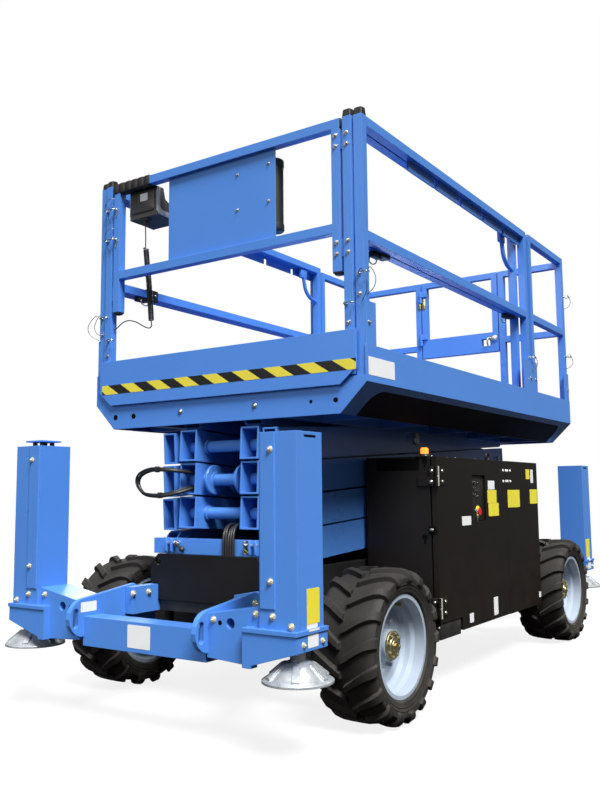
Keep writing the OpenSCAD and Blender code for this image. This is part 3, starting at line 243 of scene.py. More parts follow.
def addLathe(bm, profile, origin, axis, sides=32, startAngle=0.0):  # profile holds (radius, distance along the axis)
    axis = Vector(axis).normalized()
    first, second = sideways(axis)
    rings = []
    for radius, along in profile:
        centre = Vector(origin) + axis * along
        if radius < 1e-6:
            rings.append([bm.verts.new(centre)])
            continue
        turns = [startAngle + 2 * math.pi * i / sides for i in range(sides)]
        rings.append([bm.verts.new(centre + radius * (math.cos(t) * first + math.sin(t) * second)) for t in turns])
    for low, high in zip(rings, rings[1:]):
        if len(low) == len(high):
            joinRings(bm, low, high)
            continue
        tip, ring = (low[0], high) if len(low) == 1 else (high[0], low)
        for here, after in zip(ring, ring[1:] + ring[:1]):
            bm.faces.new((tip, here, after))
    for ring in (rings[0], rings[-1]):
        if len(ring) > 1:
            bm.faces.new(ring)


def addBar(bm, start, end, radius, sides=24, chamfer=0.0):
    start, end = Vector(start), Vector(end)
    length = (end - start).length
    inset = radius - chamfer
    if chamfer > 0:
        profile = [(inset, 0), (radius, chamfer), (radius, length - chamfer), (inset, length)]
    else:
        profile = [(radius, 0), (radius, length)]
    addLathe(bm, profile, start, end - start, sides)


def addBolt(bm, place, normal, across=0.019, washer=True):  # hex head on a washer, standing on a face
    headRadius = across / math.sqrt(3)
    headHeight = across * 0.42
    base = Vector(place)
    normal = Vector(normal).normalized()
    lift = 0.0
    if washer:
        lift = across * 0.12
        rim = across * 0.82
        addLathe(bm, [(rim, -0.001), (rim, lift * 0.7), (rim * 0.95, lift), (0, lift)], base, normal, 20)
    top = lift + headHeight
    profile = [(headRadius, lift - 0.001), (headRadius, top - across * 0.07), (headRadius * 0.84, top), (0, top)]
    addLathe(bm, profile, base, normal, 6, startAngle=math.pi / 6)
    tip = across * 0.24
    addLathe(bm, [(tip, top - 0.001), (tip, top + tip * 0.9), (tip * 0.7, top + tip * 1.3), (0, top + tip * 1.3)],
             base, normal, 12)


def addDome(bm, place, normal, radius, height, sides=20):  # rivet or button head
    steps = 5
    profile = [(radius, -0.001)]
    for i in range(steps + 1):
        turn = math.pi / 2 * i / steps
        profile.append((radius * math.cos(turn) if i < steps else 0, height * math.sin(turn)))
    addLathe(bm, profile, place, normal, sides)


def addSweep(bm, path, radius, sides=10, closed=False):  # round tube along a path
    path = [Vector(p) for p in path]
    count = len(path)
    rings = []
    side = None
    for i, point in enumerate(path):
        before = path[i - 1] if i > 0 else (path[-1] if closed else path[0])
        after = path[i + 1] if i + 1 < count else (path[0] if closed else path[-1])
        ahead = (after - before).normalized()
        if side is None:
            side = sideways(ahead)[0]
        side = (side - ahead * side.dot(ahead)).normalized()
        other = ahead.cross(side)
        turns = [2 * math.pi * k / sides for k in range(sides)]
        rings.append([bm.verts.new(point + radius * (math.cos(t) * side + math.sin(t) * other)) for t in turns])
    pairs = list(zip(rings, rings[1:]))
    if closed:
        pairs.append((rings[-1], rings[0]))
    for low, high in pairs:
        joinRings(bm, low, high)
    if not closed:
        bm.faces.new(rings[0])
        bm.faces.new(rings[-1])


planeAxes = {"x": (1, 2, 0), "y": (0, 2, 1), "z": (0, 1, 2)}


def addSlab(bm, outline, axis, low, high, rounding=0.0):  # outline in the plane square to the axis, between two values
    first, second, third = planeAxes[axis]

    def place(point, depth):
        values = [0, 0, 0]
        values[first], values[second], values[third] = point[0], point[1], depth
        return bm.verts.new(values)

    lower = [place(p, low) for p in outline]
    upper = [place(p, high) for p in outline]
    ends = [bm.faces.new(lower), bm.faces.new(upper)]
    joinRings(bm, lower, upper)
    if rounding > 0:
        rim = list({edge for face in ends for edge in face.edges})
        bmesh.ops.bevel(bm, geom=rim, offset=rounding, segments=2, affect="EDGES", profile=0.5)


def roundRect(left, bottom, right, top, radius, steps=4):
    corners = ((right - radius, top - radius, 0), (left + radius, top - radius, 90),
               (left + radius, bottom + radius, 180), (right - radius, bottom + radius, 270))
    outline = []
    for u, v, start in corners:
        for i in range(steps + 1):
            turn = math.radians(start + 90 * i / steps)
            outline.append((u + radius * math.cos(turn), v + radius * math.sin(turn)))
    return outline


def rectAt(u, v, rect, radius):  # rounded rectangle given from a middle point
    left, bottom, right, top = rect
    return roundRect(u + left, v + bottom, u + right, v + top, radius)


def ringPath(centre, first, second, steps):  # points round an ellipse with two half axes
    turns = [2 * math.pi * i / steps for i in range(steps)]
    return [Vector(centre) + math.cos(t) * Vector(first) + math.sin(t) * Vector(second) for t in turns]


# Shader groups, each built once


def makeGroup(name, inputs, outputs):
    tree = bpy.data.node_groups.new(name, "ShaderNodeTree")
    kinds = {"value": "NodeSocketFloat", "color": "NodeSocketColor", "vector": "NodeSocketVector"}
    for label, kind, default in inputs:
        socket = tree.interface.new_socket(label, in_out="INPUT", socket_type=kinds[kind])
        socket.default_value = default
    for label, kind in outputs:
        tree.interface.new_socket(label, in_out="OUTPUT", socket_type=kinds[kind])
    return tree, tree.nodes.new("NodeGroupInput"), tree.nodes.new("NodeGroupOutput")


def addNode(tree, kind, settings=None, values=None, links=None):  # links maps an input to the socket that feeds it
    made = tree.nodes.new(kind)
    for label, value in (settings or {}).items():
        setattr(made, label, value)
    for label, value in (values or {}).items():
        made.inputs[label].default_value = value
    for label, socket in (links or {}).items():
        tree.links.new(socket, made.inputs[label])
    return made


def feed(tree, entry, value):  # a number or a colour is set on the input, a socket is linked to it
    if isinstance(value, bpy.types.NodeSocket):
        tree.links.new(value, entry)
    else:
        entry.default_value = (*value, 1.0) if isinstance(value, tuple) else value


def addMath(tree, operation, first, second=None, clamp=False):
    made = addNode(tree, "ShaderNodeMath", {"operation": operation, "use_clamp": clamp})
    feed(tree, made.inputs[0], first)
    if second is not None:
        feed(tree, made.inputs[1], second)
    return made.outputs[0]


def addRange(tree, value, low, high, toLow=0.0, toHigh=1.0):
    made = addNode(tree, "ShaderNodeMapRange", {"interpolation_type": "SMOOTHSTEP"}, links={"Value": value})
    for label, bound in (("From Min", low), ("From Max", high), ("To Min", toLow), ("To Max", toHigh)):
        feed(tree, made.inputs[label], bound)
    return made.outputs["Result"]


def addMix(tree, factor, first, second):
    made = addNode(tree, "ShaderNodeMix", {"data_type": "RGBA"})
    for index, value in ((0, factor), (6, first), (7, second)):
        feed(tree, made.inputs[index], value)
    return made.outputs[2]


def addNoise(tree, scale, detail=3.0, roughness=0.5):
    coords = addNode(tree, "ShaderNodeTexCoord")
    noise = addNode(tree, "ShaderNodeTexNoise", values={"Detail": detail, "Roughness": roughness},
                    links={"Vector": coords.outputs["Object"]})
    feed(tree, noise.inputs["Scale"], scale)
    return noise.outputs["Fac"]


def buildEdgeWearAndHighlight():  # rounded edge normals, and a broken mask along the edges for edge wear and a painted edge highlight
    tree, taken, given = makeGroup(
        "edgeWearAndHighlight",
        [("Radius", "value", 0.003), ("Amount", "value", 0.5)],
        [("Mask", "value"), ("Normal", "vector")])
    bevel = addNode(tree, "ShaderNodeBevel", {"samples": 6}, links={"Radius": taken.outputs["Radius"]})
    geometry = addNode(tree, "ShaderNodeNewGeometry")
    alike = addNode(tree, "ShaderNodeVectorMath", {"operation": "DOT_PRODUCT"})
    tree.links.new(bevel.outputs["Normal"], alike.inputs[0])
    tree.links.new(geometry.outputs["Normal"], alike.inputs[1])
    turned = addMath(tree, "SUBTRACT", 1.0, alike.outputs["Value"])
    edge = addRange(tree, turned, 0.05, 0.28)
    broken = addRange(tree, addNoise(tree, 38.0, 5.0, 0.65), 0.42, 0.66)
    mask = addMath(tree, "MULTIPLY", addMath(tree, "MULTIPLY", edge, broken), taken.outputs["Amount"], clamp=True)
    tree.links.new(mask, given.inputs["Mask"])
    tree.links.new(bevel.outputs["Normal"], given.inputs["Normal"])
    return tree


def buildToneDrift():  # slow change of shade over a painted or moulded surface
    tree, taken, given = makeGroup(
        "toneDrift",
        [("Color", "color", (0.5, 0.5, 0.5, 1)), ("Scale", "value", 2.0), ("Strength", "value", 0.1)],
        [("Color", "color"), ("Drift", "value")])
    noise = addNoise(tree, taken.outputs["Scale"], 4.0, 0.55)
    drift = addMath(tree, "SUBTRACT", noise, 0.5)
    lightness = addMath(tree, "ADD", addMath(tree, "MULTIPLY", drift, taken.outputs["Strength"]), 1.0)
    shade = addNode(tree, "ShaderNodeHueSaturation",
                    links={"Color": taken.outputs["Color"], "Value": lightness})
    tree.links.new(shade.outputs["Color"], given.inputs["Color"])
    tree.links.new(noise, given.inputs["Drift"])
    return tree


def buildRoadDust():  # dust that thins out with height and lies on upward faces
    tree, taken, given = makeGroup(
        "roadDust",
        [("Low", "value", 0.0), ("High", "value", 0.8), ("Amount", "value", 0.4)],
        [("Mask", "value")])
    coords = addNode(tree, "ShaderNodeTexCoord")
    place = addNode(tree, "ShaderNodeSeparateXYZ", links={"Vector": coords.outputs["Object"]})
    height = addRange(tree, place.outputs["Z"], taken.outputs["Low"], taken.outputs["High"], 1.0, 0.0)
    geometry = addNode(tree, "ShaderNodeNewGeometry")
    facing = addNode(tree, "ShaderNodeSeparateXYZ", links={"Vector": geometry.outputs["Normal"]})
    upward = addRange(tree, facing.outputs["Z"], 0.2, 0.95, 0.35, 1.0)
    cloud = addRange(tree, addNoise(tree, 9.0, 6.0, 0.7), 0.35, 0.72)
    mask = addMath(tree, "MULTIPLY", addMath(tree, "MULTIPLY", height, upward), cloud)
    tree.links.new(addMath(tree, "MULTIPLY", mask, taken.outputs["Amount"], clamp=True), given.inputs["Mask"])
    return tree


def buildGrain():  # fine height for paint skin, cast skin or moulded grain
    tree, taken, given = makeGroup("grain", [("Scale", "value", 200.0)], [("Height", "value")])
    tree.links.new(addNoise(tree, taken.outputs["Scale"], 2.0, 0.5), given.inputs["Height"])
    return tree


groups = {
    "edgeWearAndHighlight": buildEdgeWearAndHighlight(),
    "toneDrift": buildToneDrift(),
    "roadDust": buildRoadDust(),
    "grain": buildGrain(),
}
print("shader groups:", len(groups))


def addGroup(tree, name, values):
    return addNode(tree, "ShaderNodeGroup", {"node_tree": groups[name]}, values)


# Materials


def newMaterial(name, constants):
    material = bpy.data.materials.new(name)
    material.use_nodes = True
    shader = material.node_tree.nodes["Principled BSDF"]
    for label, value in constants.items():
        shader.inputs[label].default_value = value
    return material, material.node_tree, shader


def makeFinish(name, values):  # paint, plating, plastic or rubber with drift, edge wear with a painted edge highlight, grain and dust
    constants = {"Metallic": values.get("metallic", 0.0), "Coat Weight": values.get("coat", 0.0),
                 "Coat Roughness": values.get("coatRoughness", 0.1),
                 "Specular IOR Level": values.get("specular", 0.5)}
    material, tree, shader = newMaterial(name, constants)
    drift = addGroup(tree, "toneDrift", {"Color": (*values["color"], 1.0), "Scale": values.get("driftScale", 1.6),
                                         "Strength": values.get("drift", 0.12)})
    wearAndHighlight = addGroup(tree, "edgeWearAndHighlight", {"Radius": values.get("edgeRadius", 0.003),
                                       "Amount": values.get("edgeAmount", 0.5)})
    grain = addGroup(tree, "grain", {"Scale": values.get("grainScale", 260.0)})
    # edgeColor on the edges is partly wear and partly a painted highlight
    color = addMix(tree, wearAndHighlight.outputs["Mask"], drift.outputs["Color"], values.get("edgeColor", values["color"]))
    rough = values["roughness"]
    spread = values.get("roughSpread", 0.1)
    roughness = addRange(tree, drift.outputs["Drift"], 0.3, 0.7, rough - spread / 2, rough + spread / 2)
    if values.get("dust", 0.0) > 0:
        dust = addGroup(tree, "roadDust", {"Low": values.get("dustLow", 0.0), "High": values.get("dustHigh", 0.9),
                                           "Amount": values["dust"]})
        color = addMix(tree, dust.outputs["Mask"], color, values.get("dustColor", (0.30, 0.26, 0.21)))
        dull = addMath(tree, "MULTIPLY", dust.outputs["Mask"], 0.5)
        roughness = addMath(tree, "ADD", roughness, dull, clamp=True)
    bump = addNode(tree, "ShaderNodeBump",
                   values={"Strength": values.get("grainStrength", 0.05), "Distance": 0.001},
                   links={"Height": grain.outputs["Height"], "Normal": wearAndHighlight.outputs["Normal"]})
    tree.links.new(color, shader.inputs["Base Color"])
    tree.links.new(roughness, shader.inputs["Roughness"])
    tree.links.new(bump.outputs["Normal"], shader.inputs["Normal"])
    return material


# each edgeColor is partly edge wear and partly a painted edge highlight
finishes = {
    "bluePaint": {"color": (0.074, 0.232, 0.655), "roughness": 0.32, "coat": 0.22, "drift": 0.10, "edgeAmount": 0.5,
                  "edgeColor": (0.20, 0.42, 0.88), "grainScale": 320.0, "grainStrength": 0.035,
                  "dust": 0.06, "dustHigh": 0.7},
    "blackPaint": {"color": (0.0085, 0.0068, 0.0054), "roughness": 0.40, "drift": 0.5, "edgeAmount": 0.4,
                   "edgeColor": (0.05, 0.048, 0.045), "grainScale": 700.0, "grainStrength": 0.10, "specular": 0.28,
                   "dust": 0.07, "dustHigh": 0.9},
    "blackSteel": {"color": (0.012, 0.012, 0.013), "roughness": 0.48, "drift": 0.6, "edgeAmount": 0.6,
                   "edgeColor": (0.09, 0.09, 0.09), "grainScale": 240.0, "grainStrength": 0.15,
                   "dust": 0.35, "dustHigh": 0.8},
    "rimPaint": {"color": (0.36, 0.42, 0.50), "roughness": 0.34, "coat": 0.15, "drift": 0.10, "edgeAmount": 0.4,
                 "edgeColor": (0.62, 0.64, 0.66), "grainStrength": 0.05, "dust": 0.12, "dustHigh": 0.8},
    "zincCast": {"color": (0.50, 0.53, 0.55), "roughness": 0.36, "metallic": 0.55, "drift": 0.5, "driftScale": 26.0,
                 "roughSpread": 0.25, "edgeAmount": 0.6, "edgeColor": (0.75, 0.75, 0.74), "grainScale": 120.0,
                 "grainStrength": 0.25, "dust": 0.06, "dustHigh": 0.4},
    "zincBolt": {"color": (0.62, 0.61, 0.56), "roughness": 0.30, "metallic": 1.0, "drift": 0.4, "driftScale": 60.0,
                 "edgeAmount": 0.4, "edgeColor": (0.8, 0.8, 0.78), "edgeRadius": 0.0008, "grainStrength": 0.06},
    "yellowZinc": {"color": (0.38, 0.34, 0.19), "roughness": 0.44, "metallic": 0.9, "drift": 0.7, "driftScale": 40.0,
                   "roughSpread": 0.2, "edgeAmount": 0.5, "edgeColor": (0.72, 0.66, 0.48), "edgeRadius": 0.001,
                   "grainStrength": 0.08, "dust": 0.2, "dustHigh": 0.7},
    "brass": {"color": (0.60, 0.47, 0.20), "roughness": 0.32, "metallic": 1.0, "drift": 0.4, "driftScale": 50.0,
              "edgeAmount": 0.4, "edgeColor": (0.8, 0.7, 0.4), "edgeRadius": 0.0008, "grainStrength": 0.05},
    # painted shade: near-black for the inside of holes, slots, the vent notch and the latch dish
    "paintedHoleShade": {"color": (0.0018, 0.0018, 0.0018), "roughness": 0.9, "drift": 0.2, "edgeAmount": 0.0,
                   "edgeColor": (0.01, 0.01, 0.01), "grainStrength": 0.05, "specular": 0.1},
    # painted shade: near-black navy for the unlit underside of the skirts
    "paintedUnderShade": {"color": (0.0060, 0.0055, 0.0130), "roughness": 0.7, "drift": 0.5, "edgeAmount": 0.1,
                  "edgeColor": (0.03, 0.03, 0.05), "grainScale": 200.0, "grainStrength": 0.15, "specular": 0.2},
    "paleZinc": {"color": (0.70, 0.66, 0.50), "roughness": 0.42, "metallic": 0.6, "drift": 0.4, "driftScale": 60.0,
                 "edgeAmount": 0.4, "edgeColor": (0.8, 0.78, 0.66), "edgeRadius": 0.0008, "grainStrength": 0.06},
    "machinedSteel": {"color": (0.56, 0.55, 0.52), "roughness": 0.22, "metallic": 1.0, "drift": 0.2,
                      "edgeAmount": 0.2, "grainScale": 500.0, "grainStrength": 0.05},
    "castIron": {"color": (0.030, 0.030, 0.032), "roughness": 0.55, "drift": 0.5, "edgeAmount": 0.4,
                 "edgeColor": (0.10, 0.10, 0.10), "grainScale": 160.0, "grainStrength": 0.3, "dust": 0.4},
    "blackPlastic": {"color": (0.017, 0.016, 0.015), "roughness": 0.45, "drift": 0.3, "edgeAmount": 0.25,
                     "edgeColor": (0.06, 0.06, 0.06), "grainScale": 900.0, "grainStrength": 0.12},
    "greyPlastic": {"color": (0.045, 0.043, 0.038), "roughness": 0.5, "drift": 0.3, "edgeAmount": 0.25,
                    "edgeColor": (0.10, 0.10, 0.09), "grainScale": 700.0, "grainStrength": 0.2},
    "tyreRubber": {"color": (0.021, 0.0188, 0.0165), "roughness": 0.72, "drift": 0.5, "driftScale": 7.0,
                   "roughSpread": 0.2, "edgeAmount": 0.45, "edgeColor": (0.075, 0.072, 0.068), "edgeRadius": 0.004,
                   "grainScale": 180.0, "grainStrength": 0.22, "dust": 0.55, "dustHigh": 0.75,
                   "dustColor": (0.105, 0.095, 0.08), "specular": 0.35},
    "hoseRubber": {"color": (0.013, 0.013, 0.013), "roughness": 0.42, "drift": 0.3, "edgeAmount": 0.1,
                   "edgeColor": (0.05, 0.05, 0.05), "grainScale": 600.0, "grainStrength": 0.15},
    "redPlastic": {"color": (0.62, 0.02, 0.015), "roughness": 0.28, "drift": 0.1, "edgeAmount": 0.2,
                   "edgeColor": (0.8, 0.15, 0.1), "grainScale": 500.0, "edgeRadius": 0.001},
    "yellowPlate": {"color": (0.76, 0.66, 0.045), "roughness": 0.42, "drift": 0.08, "driftScale": 9.0,
                    "edgeAmount": 0.3, "edgeColor": (0.85, 0.8, 0.4), "edgeRadius": 0.0006, "grainScale": 800.0},
    "whitePlate": {"color": (0.78, 0.79, 0.80), "roughness": 0.40, "drift": 0.06, "driftScale": 9.0,
                   "edgeAmount": 0.3, "edgeColor": (0.6, 0.6, 0.6), "edgeRadius": 0.0006, "grainScale": 800.0},
    "wireSteel": {"color": (0.10, 0.10, 0.105), "roughness": 0.38, "metallic": 0.8, "drift": 0.3, "edgeAmount": 0.1,
                  "edgeColor": (0.2, 0.2, 0.2), "edgeRadius": 0.0004, "grainScale": 900.0, "grainStrength": 0.2},
}
materials = {name: makeFinish(name, values) for name, values in finishes.items()}


def makeAmberLens():
    values = {"color": (0.95, 0.22, 0.02), "glow": (1.0, 0.34, 0.06), "strength": 1.6, "ribs": 260.0}
    material, tree, shader = newMaterial(
        "amberLens", {"Roughness": 0.12, "Coat Weight": 0.5, "Emission Strength": values["strength"]})
    drift = addGroup(tree, "toneDrift", {"Color": (*values["color"], 1.0), "Scale": 30.0, "Strength": 0.2})
    grain = addGroup(tree, "grain", {"Scale": values["ribs"]})
    bump = addNode(tree, "ShaderNodeBump", values={"Strength": 0.3, "Distance": 0.001},
                   links={"Height": grain.outputs["Height"]})
    tree.links.new(drift.outputs["Color"], shader.inputs["Base Color"])
    tree.links.new(addMix(tree, drift.outputs["Drift"], values["color"], values["glow"]),
                   shader.inputs["Emission Color"])
    tree.links.new(bump.outputs["Normal"], shader.inputs["Normal"])
    return material


materials["amberLens"] = makeAmberLens()
print("materials:", len(materials))

# Finish of the CAD nodes

nodeFinishes = {
    "bluePaint": ["front_outrigger_frame", "rear_outrigger_frame", "entry_ladder", "main_deck", "left_rails",
                  "right_rails", "rear_rails", "gate", "extension_deck", "extension_rails"]
                 + [f"{kind}_arm_{level}" for kind in ("outer", "inner") for level in range(1, 5)],
    "blackPaint": ["left_cabinet", "right_cabinet", "left_door", "right_door", "front_guard"],
    "blackSteel": ["chassis_frame", "front_axle", "rear_axle", "cylinder_barrel"],
    "castIron": ["engine_block", "oil_tank", "knuckle_fl", "knuckle_fr", "tie_rod"],
    "tyreRubber": [f"tyre_{corner}" for corner in ("fl", "fr", "rl", "rr")],
    "rimPaint": [f"rim_{corner}" for corner in ("fl", "fr", "rl", "rr")],
    "zincCast": [f"foot_{corner}" for corner in ("fl", "fr", "rl", "rr")],
    "machinedSteel": ["cylinder_rod"],
    "amberLens": ["beacon"],
    "greyPlastic": ["control_box"],
    "blackPlastic": ["document_tube"],
    "hoseRubber": ["cord_lead", "cord_coil", "cord_tail"],
}


def dressNode(name, material):
    slots = nodes[name].data.materials
    slots.clear()
    slots.append(material)


for finish, names in nodeFinishes.items():
    for name in names:
        dressNode(name, materials[finish])


def dressPart(name, material, chosen):  # a second finish on the faces of a node that the test picks
    mesh = nodes[name].data
    mesh.materials.append(material)
    index = len(mesh.materials) - 1
    for face in mesh.polygons:
        if chosen(face.center, face.normal):
            face.material_index = index


dressPart("chassis_frame", materials["bluePaint"], lambda place, normal: place.x > 1.2 and place.z > 0.617
          or abs(place.x) > 1.435 and abs(place.y) > 0.28)
print("CAD nodes dressed")

controlCord.data.materials.append(materials["hoseRubber"])

# Wheels

wheelValues = {
    "lugCount": 17,  # on each half of the tread
    "sides": 102,
    "carcass": [  # radius and distance from the middle plane, one half from the tread in to the bead
        (0.2985, 0.0), (0.2980, 0.060), (0.2955, 0.104), (0.2890, 0.126), (0.2800, 0.1375), (0.2660, 0.1395),
        (0.2575, 0.1365), (0.2540, 0.1385), (0.2505, 0.1365), (0.2440, 0.1330), (0.2400, 0.1350), (0.2365, 0.1325),
        (0.2290, 0.1310), (0.2200, 0.1290), (0.2135, 0.1215), (0.2128, 0.1130), (0.2045, 0.1110)],
    "lug": [  # top radius, top distance, base radius, base distance, turn in degrees, half width
        (0.3200, 0.003, 0.296, 0.003, -4.0, 0.0125), (0.3200, 0.030, 0.296, 0.030, -1.0, 0.0135),
        (0.3195, 0.070, 0.294, 0.070, 4.0, 0.0150), (0.3180, 0.104, 0.290, 0.104, 7.6, 0.0165),
        (0.3120, 0.126, 0.284, 0.122, 9.4, 0.0175), (0.2990, 0.1425, 0.277, 0.134, 10.4, 0.0180),
        (0.2840, 0.1495, 0.270, 0.137, 10.9, 0.0180), (0.2680, 0.1490, 0.262, 0.137, 11.2, 0.0170),
        (0.2600, 0.1425, 0.258, 0.136, 11.3, 0.0150)],
    "baseSpread": 1.30,  # how much wider a lug is at its root
    "hub": {"face": 0.0655, "radius": 0.060, "height": 0.010, "boltRing": 0.047, "boltCount": 8, "boltSize": 0.013,
            "cap": 0.021},
    "valve": {"ring": 0.176, "from": 0.024, "to": 0.072, "turn": 118.0, "radius": 0.0055},
}
wheelCorners = {"fl": (1, 1), "fr": (1, -1), "rl": (-1, 1), "rr": (-1, -1)}


def addTorus(bm, profile, place, sides):  # closed profile of radius and distance; place turns it into a point
    rings = [[bm.verts.new(place(r, y, 2 * math.pi * i / sides)) for r, y in profile] for i in range(sides)]
    for here, after in zip(rings, rings[1:] + rings[:1]):
        joinRings(bm, here, after)


def addLug(bm, values, place, half, turn):
    stations = []
    for topR, topY, baseR, baseY, sweep, width in values["lug"]:
        middle = turn + math.radians(sweep)
        wide = width * values["baseSpread"] / baseR
        narrow = width / topR
        stations.append([bm.verts.new(place(r, half * y, middle + spread)) for r, y, spread in (
            (baseR, baseY, -wide), (topR, topY, -narrow), (topR, topY, narrow), (baseR, baseY, wide))])
    for low, high in zip(stations, stations[1:]):
        joinRings(bm, low, high)
    bm.faces.new(stations[0])
    bm.faces.new(stations[-1])


def makeTyre(corner, values):
    centre = boxMiddle(f"rim_{corner}")

    def place(r, y, turn):
        return centre + Vector((r * math.cos(turn), y, r * math.sin(turn)))

    bm = bmesh.new()
    half = values["carcass"]
    profile = half + [(r, -y) for r, y in reversed(half[1:])]
    addTorus(bm, profile, place, values["sides"])
    pitch = 2 * math.pi / values["lugCount"]
    for k in range(values["lugCount"]):
        addLug(bm, values, place, 1, k * pitch)
        addLug(bm, values, place, -1, (k + 0.5) * pitch)
    tyre = finishPiece(f"lugged_tyre_{corner}", bm, "tyreRubber", f"wheel_{corner}", 35)
    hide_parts(f"tyre_{corner}")


def makeHub(corner, values, side):
    centre = boxMiddle(f"rim_{corner}")
    out = Vector((0, side, 0))
    hub = values["hub"]
    bm = bmesh.new()
    face = centre + out * hub["face"]
    rim, height, cap = hub["radius"], hub["height"], hub["cap"]
    addLathe(bm, [(rim, -2 * skin), (rim, height * 0.8), (rim * 0.97, height), (rim * 0.62, height),
                  (rim * 0.58, height * 1.5), (cap * 1.1, height * 1.5), (cap, height * 1.9), (0, height * 1.9)],
             face, out, 40)
    for i in range(hub["boltCount"]):
        turn = 2 * math.pi * (i + 0.3) / hub["boltCount"]
        spot = face + out * height + hub["boltRing"] * Vector((math.cos(turn), 0, math.sin(turn)))
        addBolt(bm, spot, out, hub["boltSize"], washer=False)
    finishPiece(f"hub_plate_{corner}", bm, "yellowZinc", f"wheel_{corner}")
    bm = bmesh.new()
    addLathe(bm, [(cap * 0.5, -skin), (cap * 0.5, 0.005), (cap * 0.38, 0.007), (0, 0.007)], face + out * height * 1.9,
             out, 6)
    valve = values["valve"]
    turn = math.radians(valve["turn"])
    foot = centre + valve["ring"] * Vector((math.cos(turn), 0, math.sin(turn)))
    r = valve["radius"]
    length = valve["to"] - valve["from"]
    addLathe(bm, [(r * 1.7, 0), (r * 1.7, length * 0.3), (r, length * 0.36), (r, length * 0.8),
                  (r * 1.25, length * 0.82), (r * 1.25, length), (0, length)], foot + out * valve["from"], out, 14)
    finishPiece(f"valve_{corner}", bm, "brass", f"wheel_{corner}")


for corner, (end, side) in wheelCorners.items():
    makeTyre(corner, wheelValues)
    makeHub(corner, wheelValues, side)
print("wheels made")

# Outriggers: fasteners, plates, holes and post tops


def makeStripes(name, pitch):  # yellow and black bands that lean across a plate
    values = {"yellow": (0.72, 0.62, 0.06), "black": (0.012, 0.012, 0.012), "lean": 1.6}
    material, tree, shader = newMaterial(name, {"Roughness": 0.4, "Specular IOR Level": 0.4})
    coords = addNode(tree, "ShaderNodeTexCoord")
    place = addNode(tree, "ShaderNodeSeparateXYZ", links={"Vector": coords.outputs["Object"]})
    across = addMath(tree, "ADD", place.outputs["Y"], addMath(tree, "MULTIPLY", place.outputs["Z"], values["lean"]))
    phase = addMath(tree, "FRACT", addMath(tree, "DIVIDE", across, pitch))
    band = addMath(tree, "GREATER_THAN", phase, 0.5)
    drift = addGroup(tree, "toneDrift", {"Color": (*values["yellow"], 1.0), "Scale": 7.0, "Strength": 0.12})
    tree.links.new(addMix(tree, band, drift.outputs["Color"], values["black"]), shader.inputs["Base Color"])
    return material


materials["hazardStripes"] = makeStripes("hazardStripes", 0.180)
materials["narrowStripes"] = makeStripes("narrowStripes", 0.028)

outrigger = {
    "frontBolts": [  # face x, size across flats, then y and z of each bolt
        (1.846, 0.017, [(0.389, 0.480), (0.591, 0.515)]),  # side arm
        (1.869, 0.016, [(0.674, 1.115), (0.674, 0.638)]),  # strip up the post
        (1.864, 0.017, [(0.680, 0.514), (0.762, 0.4845)]),  # post
    ],
    "sideBolts": [  # face y, outward sign, size across flats, then x and z of each bolt
        (0.793, 1, 0.015, [(1.834, 0.420), (1.711, 0.419)]),  # boot
        (0.362, 1, 0.021, [(1.554, 0.504), (1.460, 0.480)]),  # tow plate
        (0.290, -1, 0.019, [(1.600, 0.511), (1.503, 0.5095)]),  # inner side of the chassis nose
    ],
    "smallHole": {"place": (1.846, 0.421, 0.471), "radius": 0.009},
    "slot": {"x": (1.737, 1.816), "tall": 0.009, "below": 0.012, "corner": 0.004, "y": (0.788, 0.7896)},
    "postTops": {1: 1.180, -1: 1.130},
    "plates": {  # left, bottom, right, top and face y of each part of a blank plate
        "yellowPlate": [(1.723, 0.486, 1.805, 0.612, 0.789)],
        "whitePlate": [(1.738, 0.405, 1.806, 0.4645, 0.793), (1.738, 0.4625, 1.806, 0.470, 0.798),
                       (1.738, 0.470, 1.806, 0.485, 0.789)],  # bent over the boot's lip
    },
    "wiper": {"profile": [(0.030, 0.318), (0.039, 0.319), (0.041, 0.326), (0.039, 0.3335), (0.030, 0.3345)],
              "ring": 0.033, "ringHeight": 0.3155, "wire": 0.0032},
}


def addPlate(bm, rect, axis, face, sign, thick=0.0008, corner=0.004, sunk=0.0004):  # thin blank plate on a face
    addSlab(bm, roundRect(*rect, corner), axis, *sorted((face - sign * sunk, face + sign * thick)))


def addHoleRing(bm, place, normal, radius, lip=0.0025, deep=0.0015):  # painted shade in the mouth of a hole, with a rolled lip
    inner = radius - lip
    profile = [(radius, -skin), (radius, deep * 0.4), (inner, deep), (inner, deep * 0.2), (0, deep * 0.2)]
    addLathe(bm, profile, place, normal, 28)


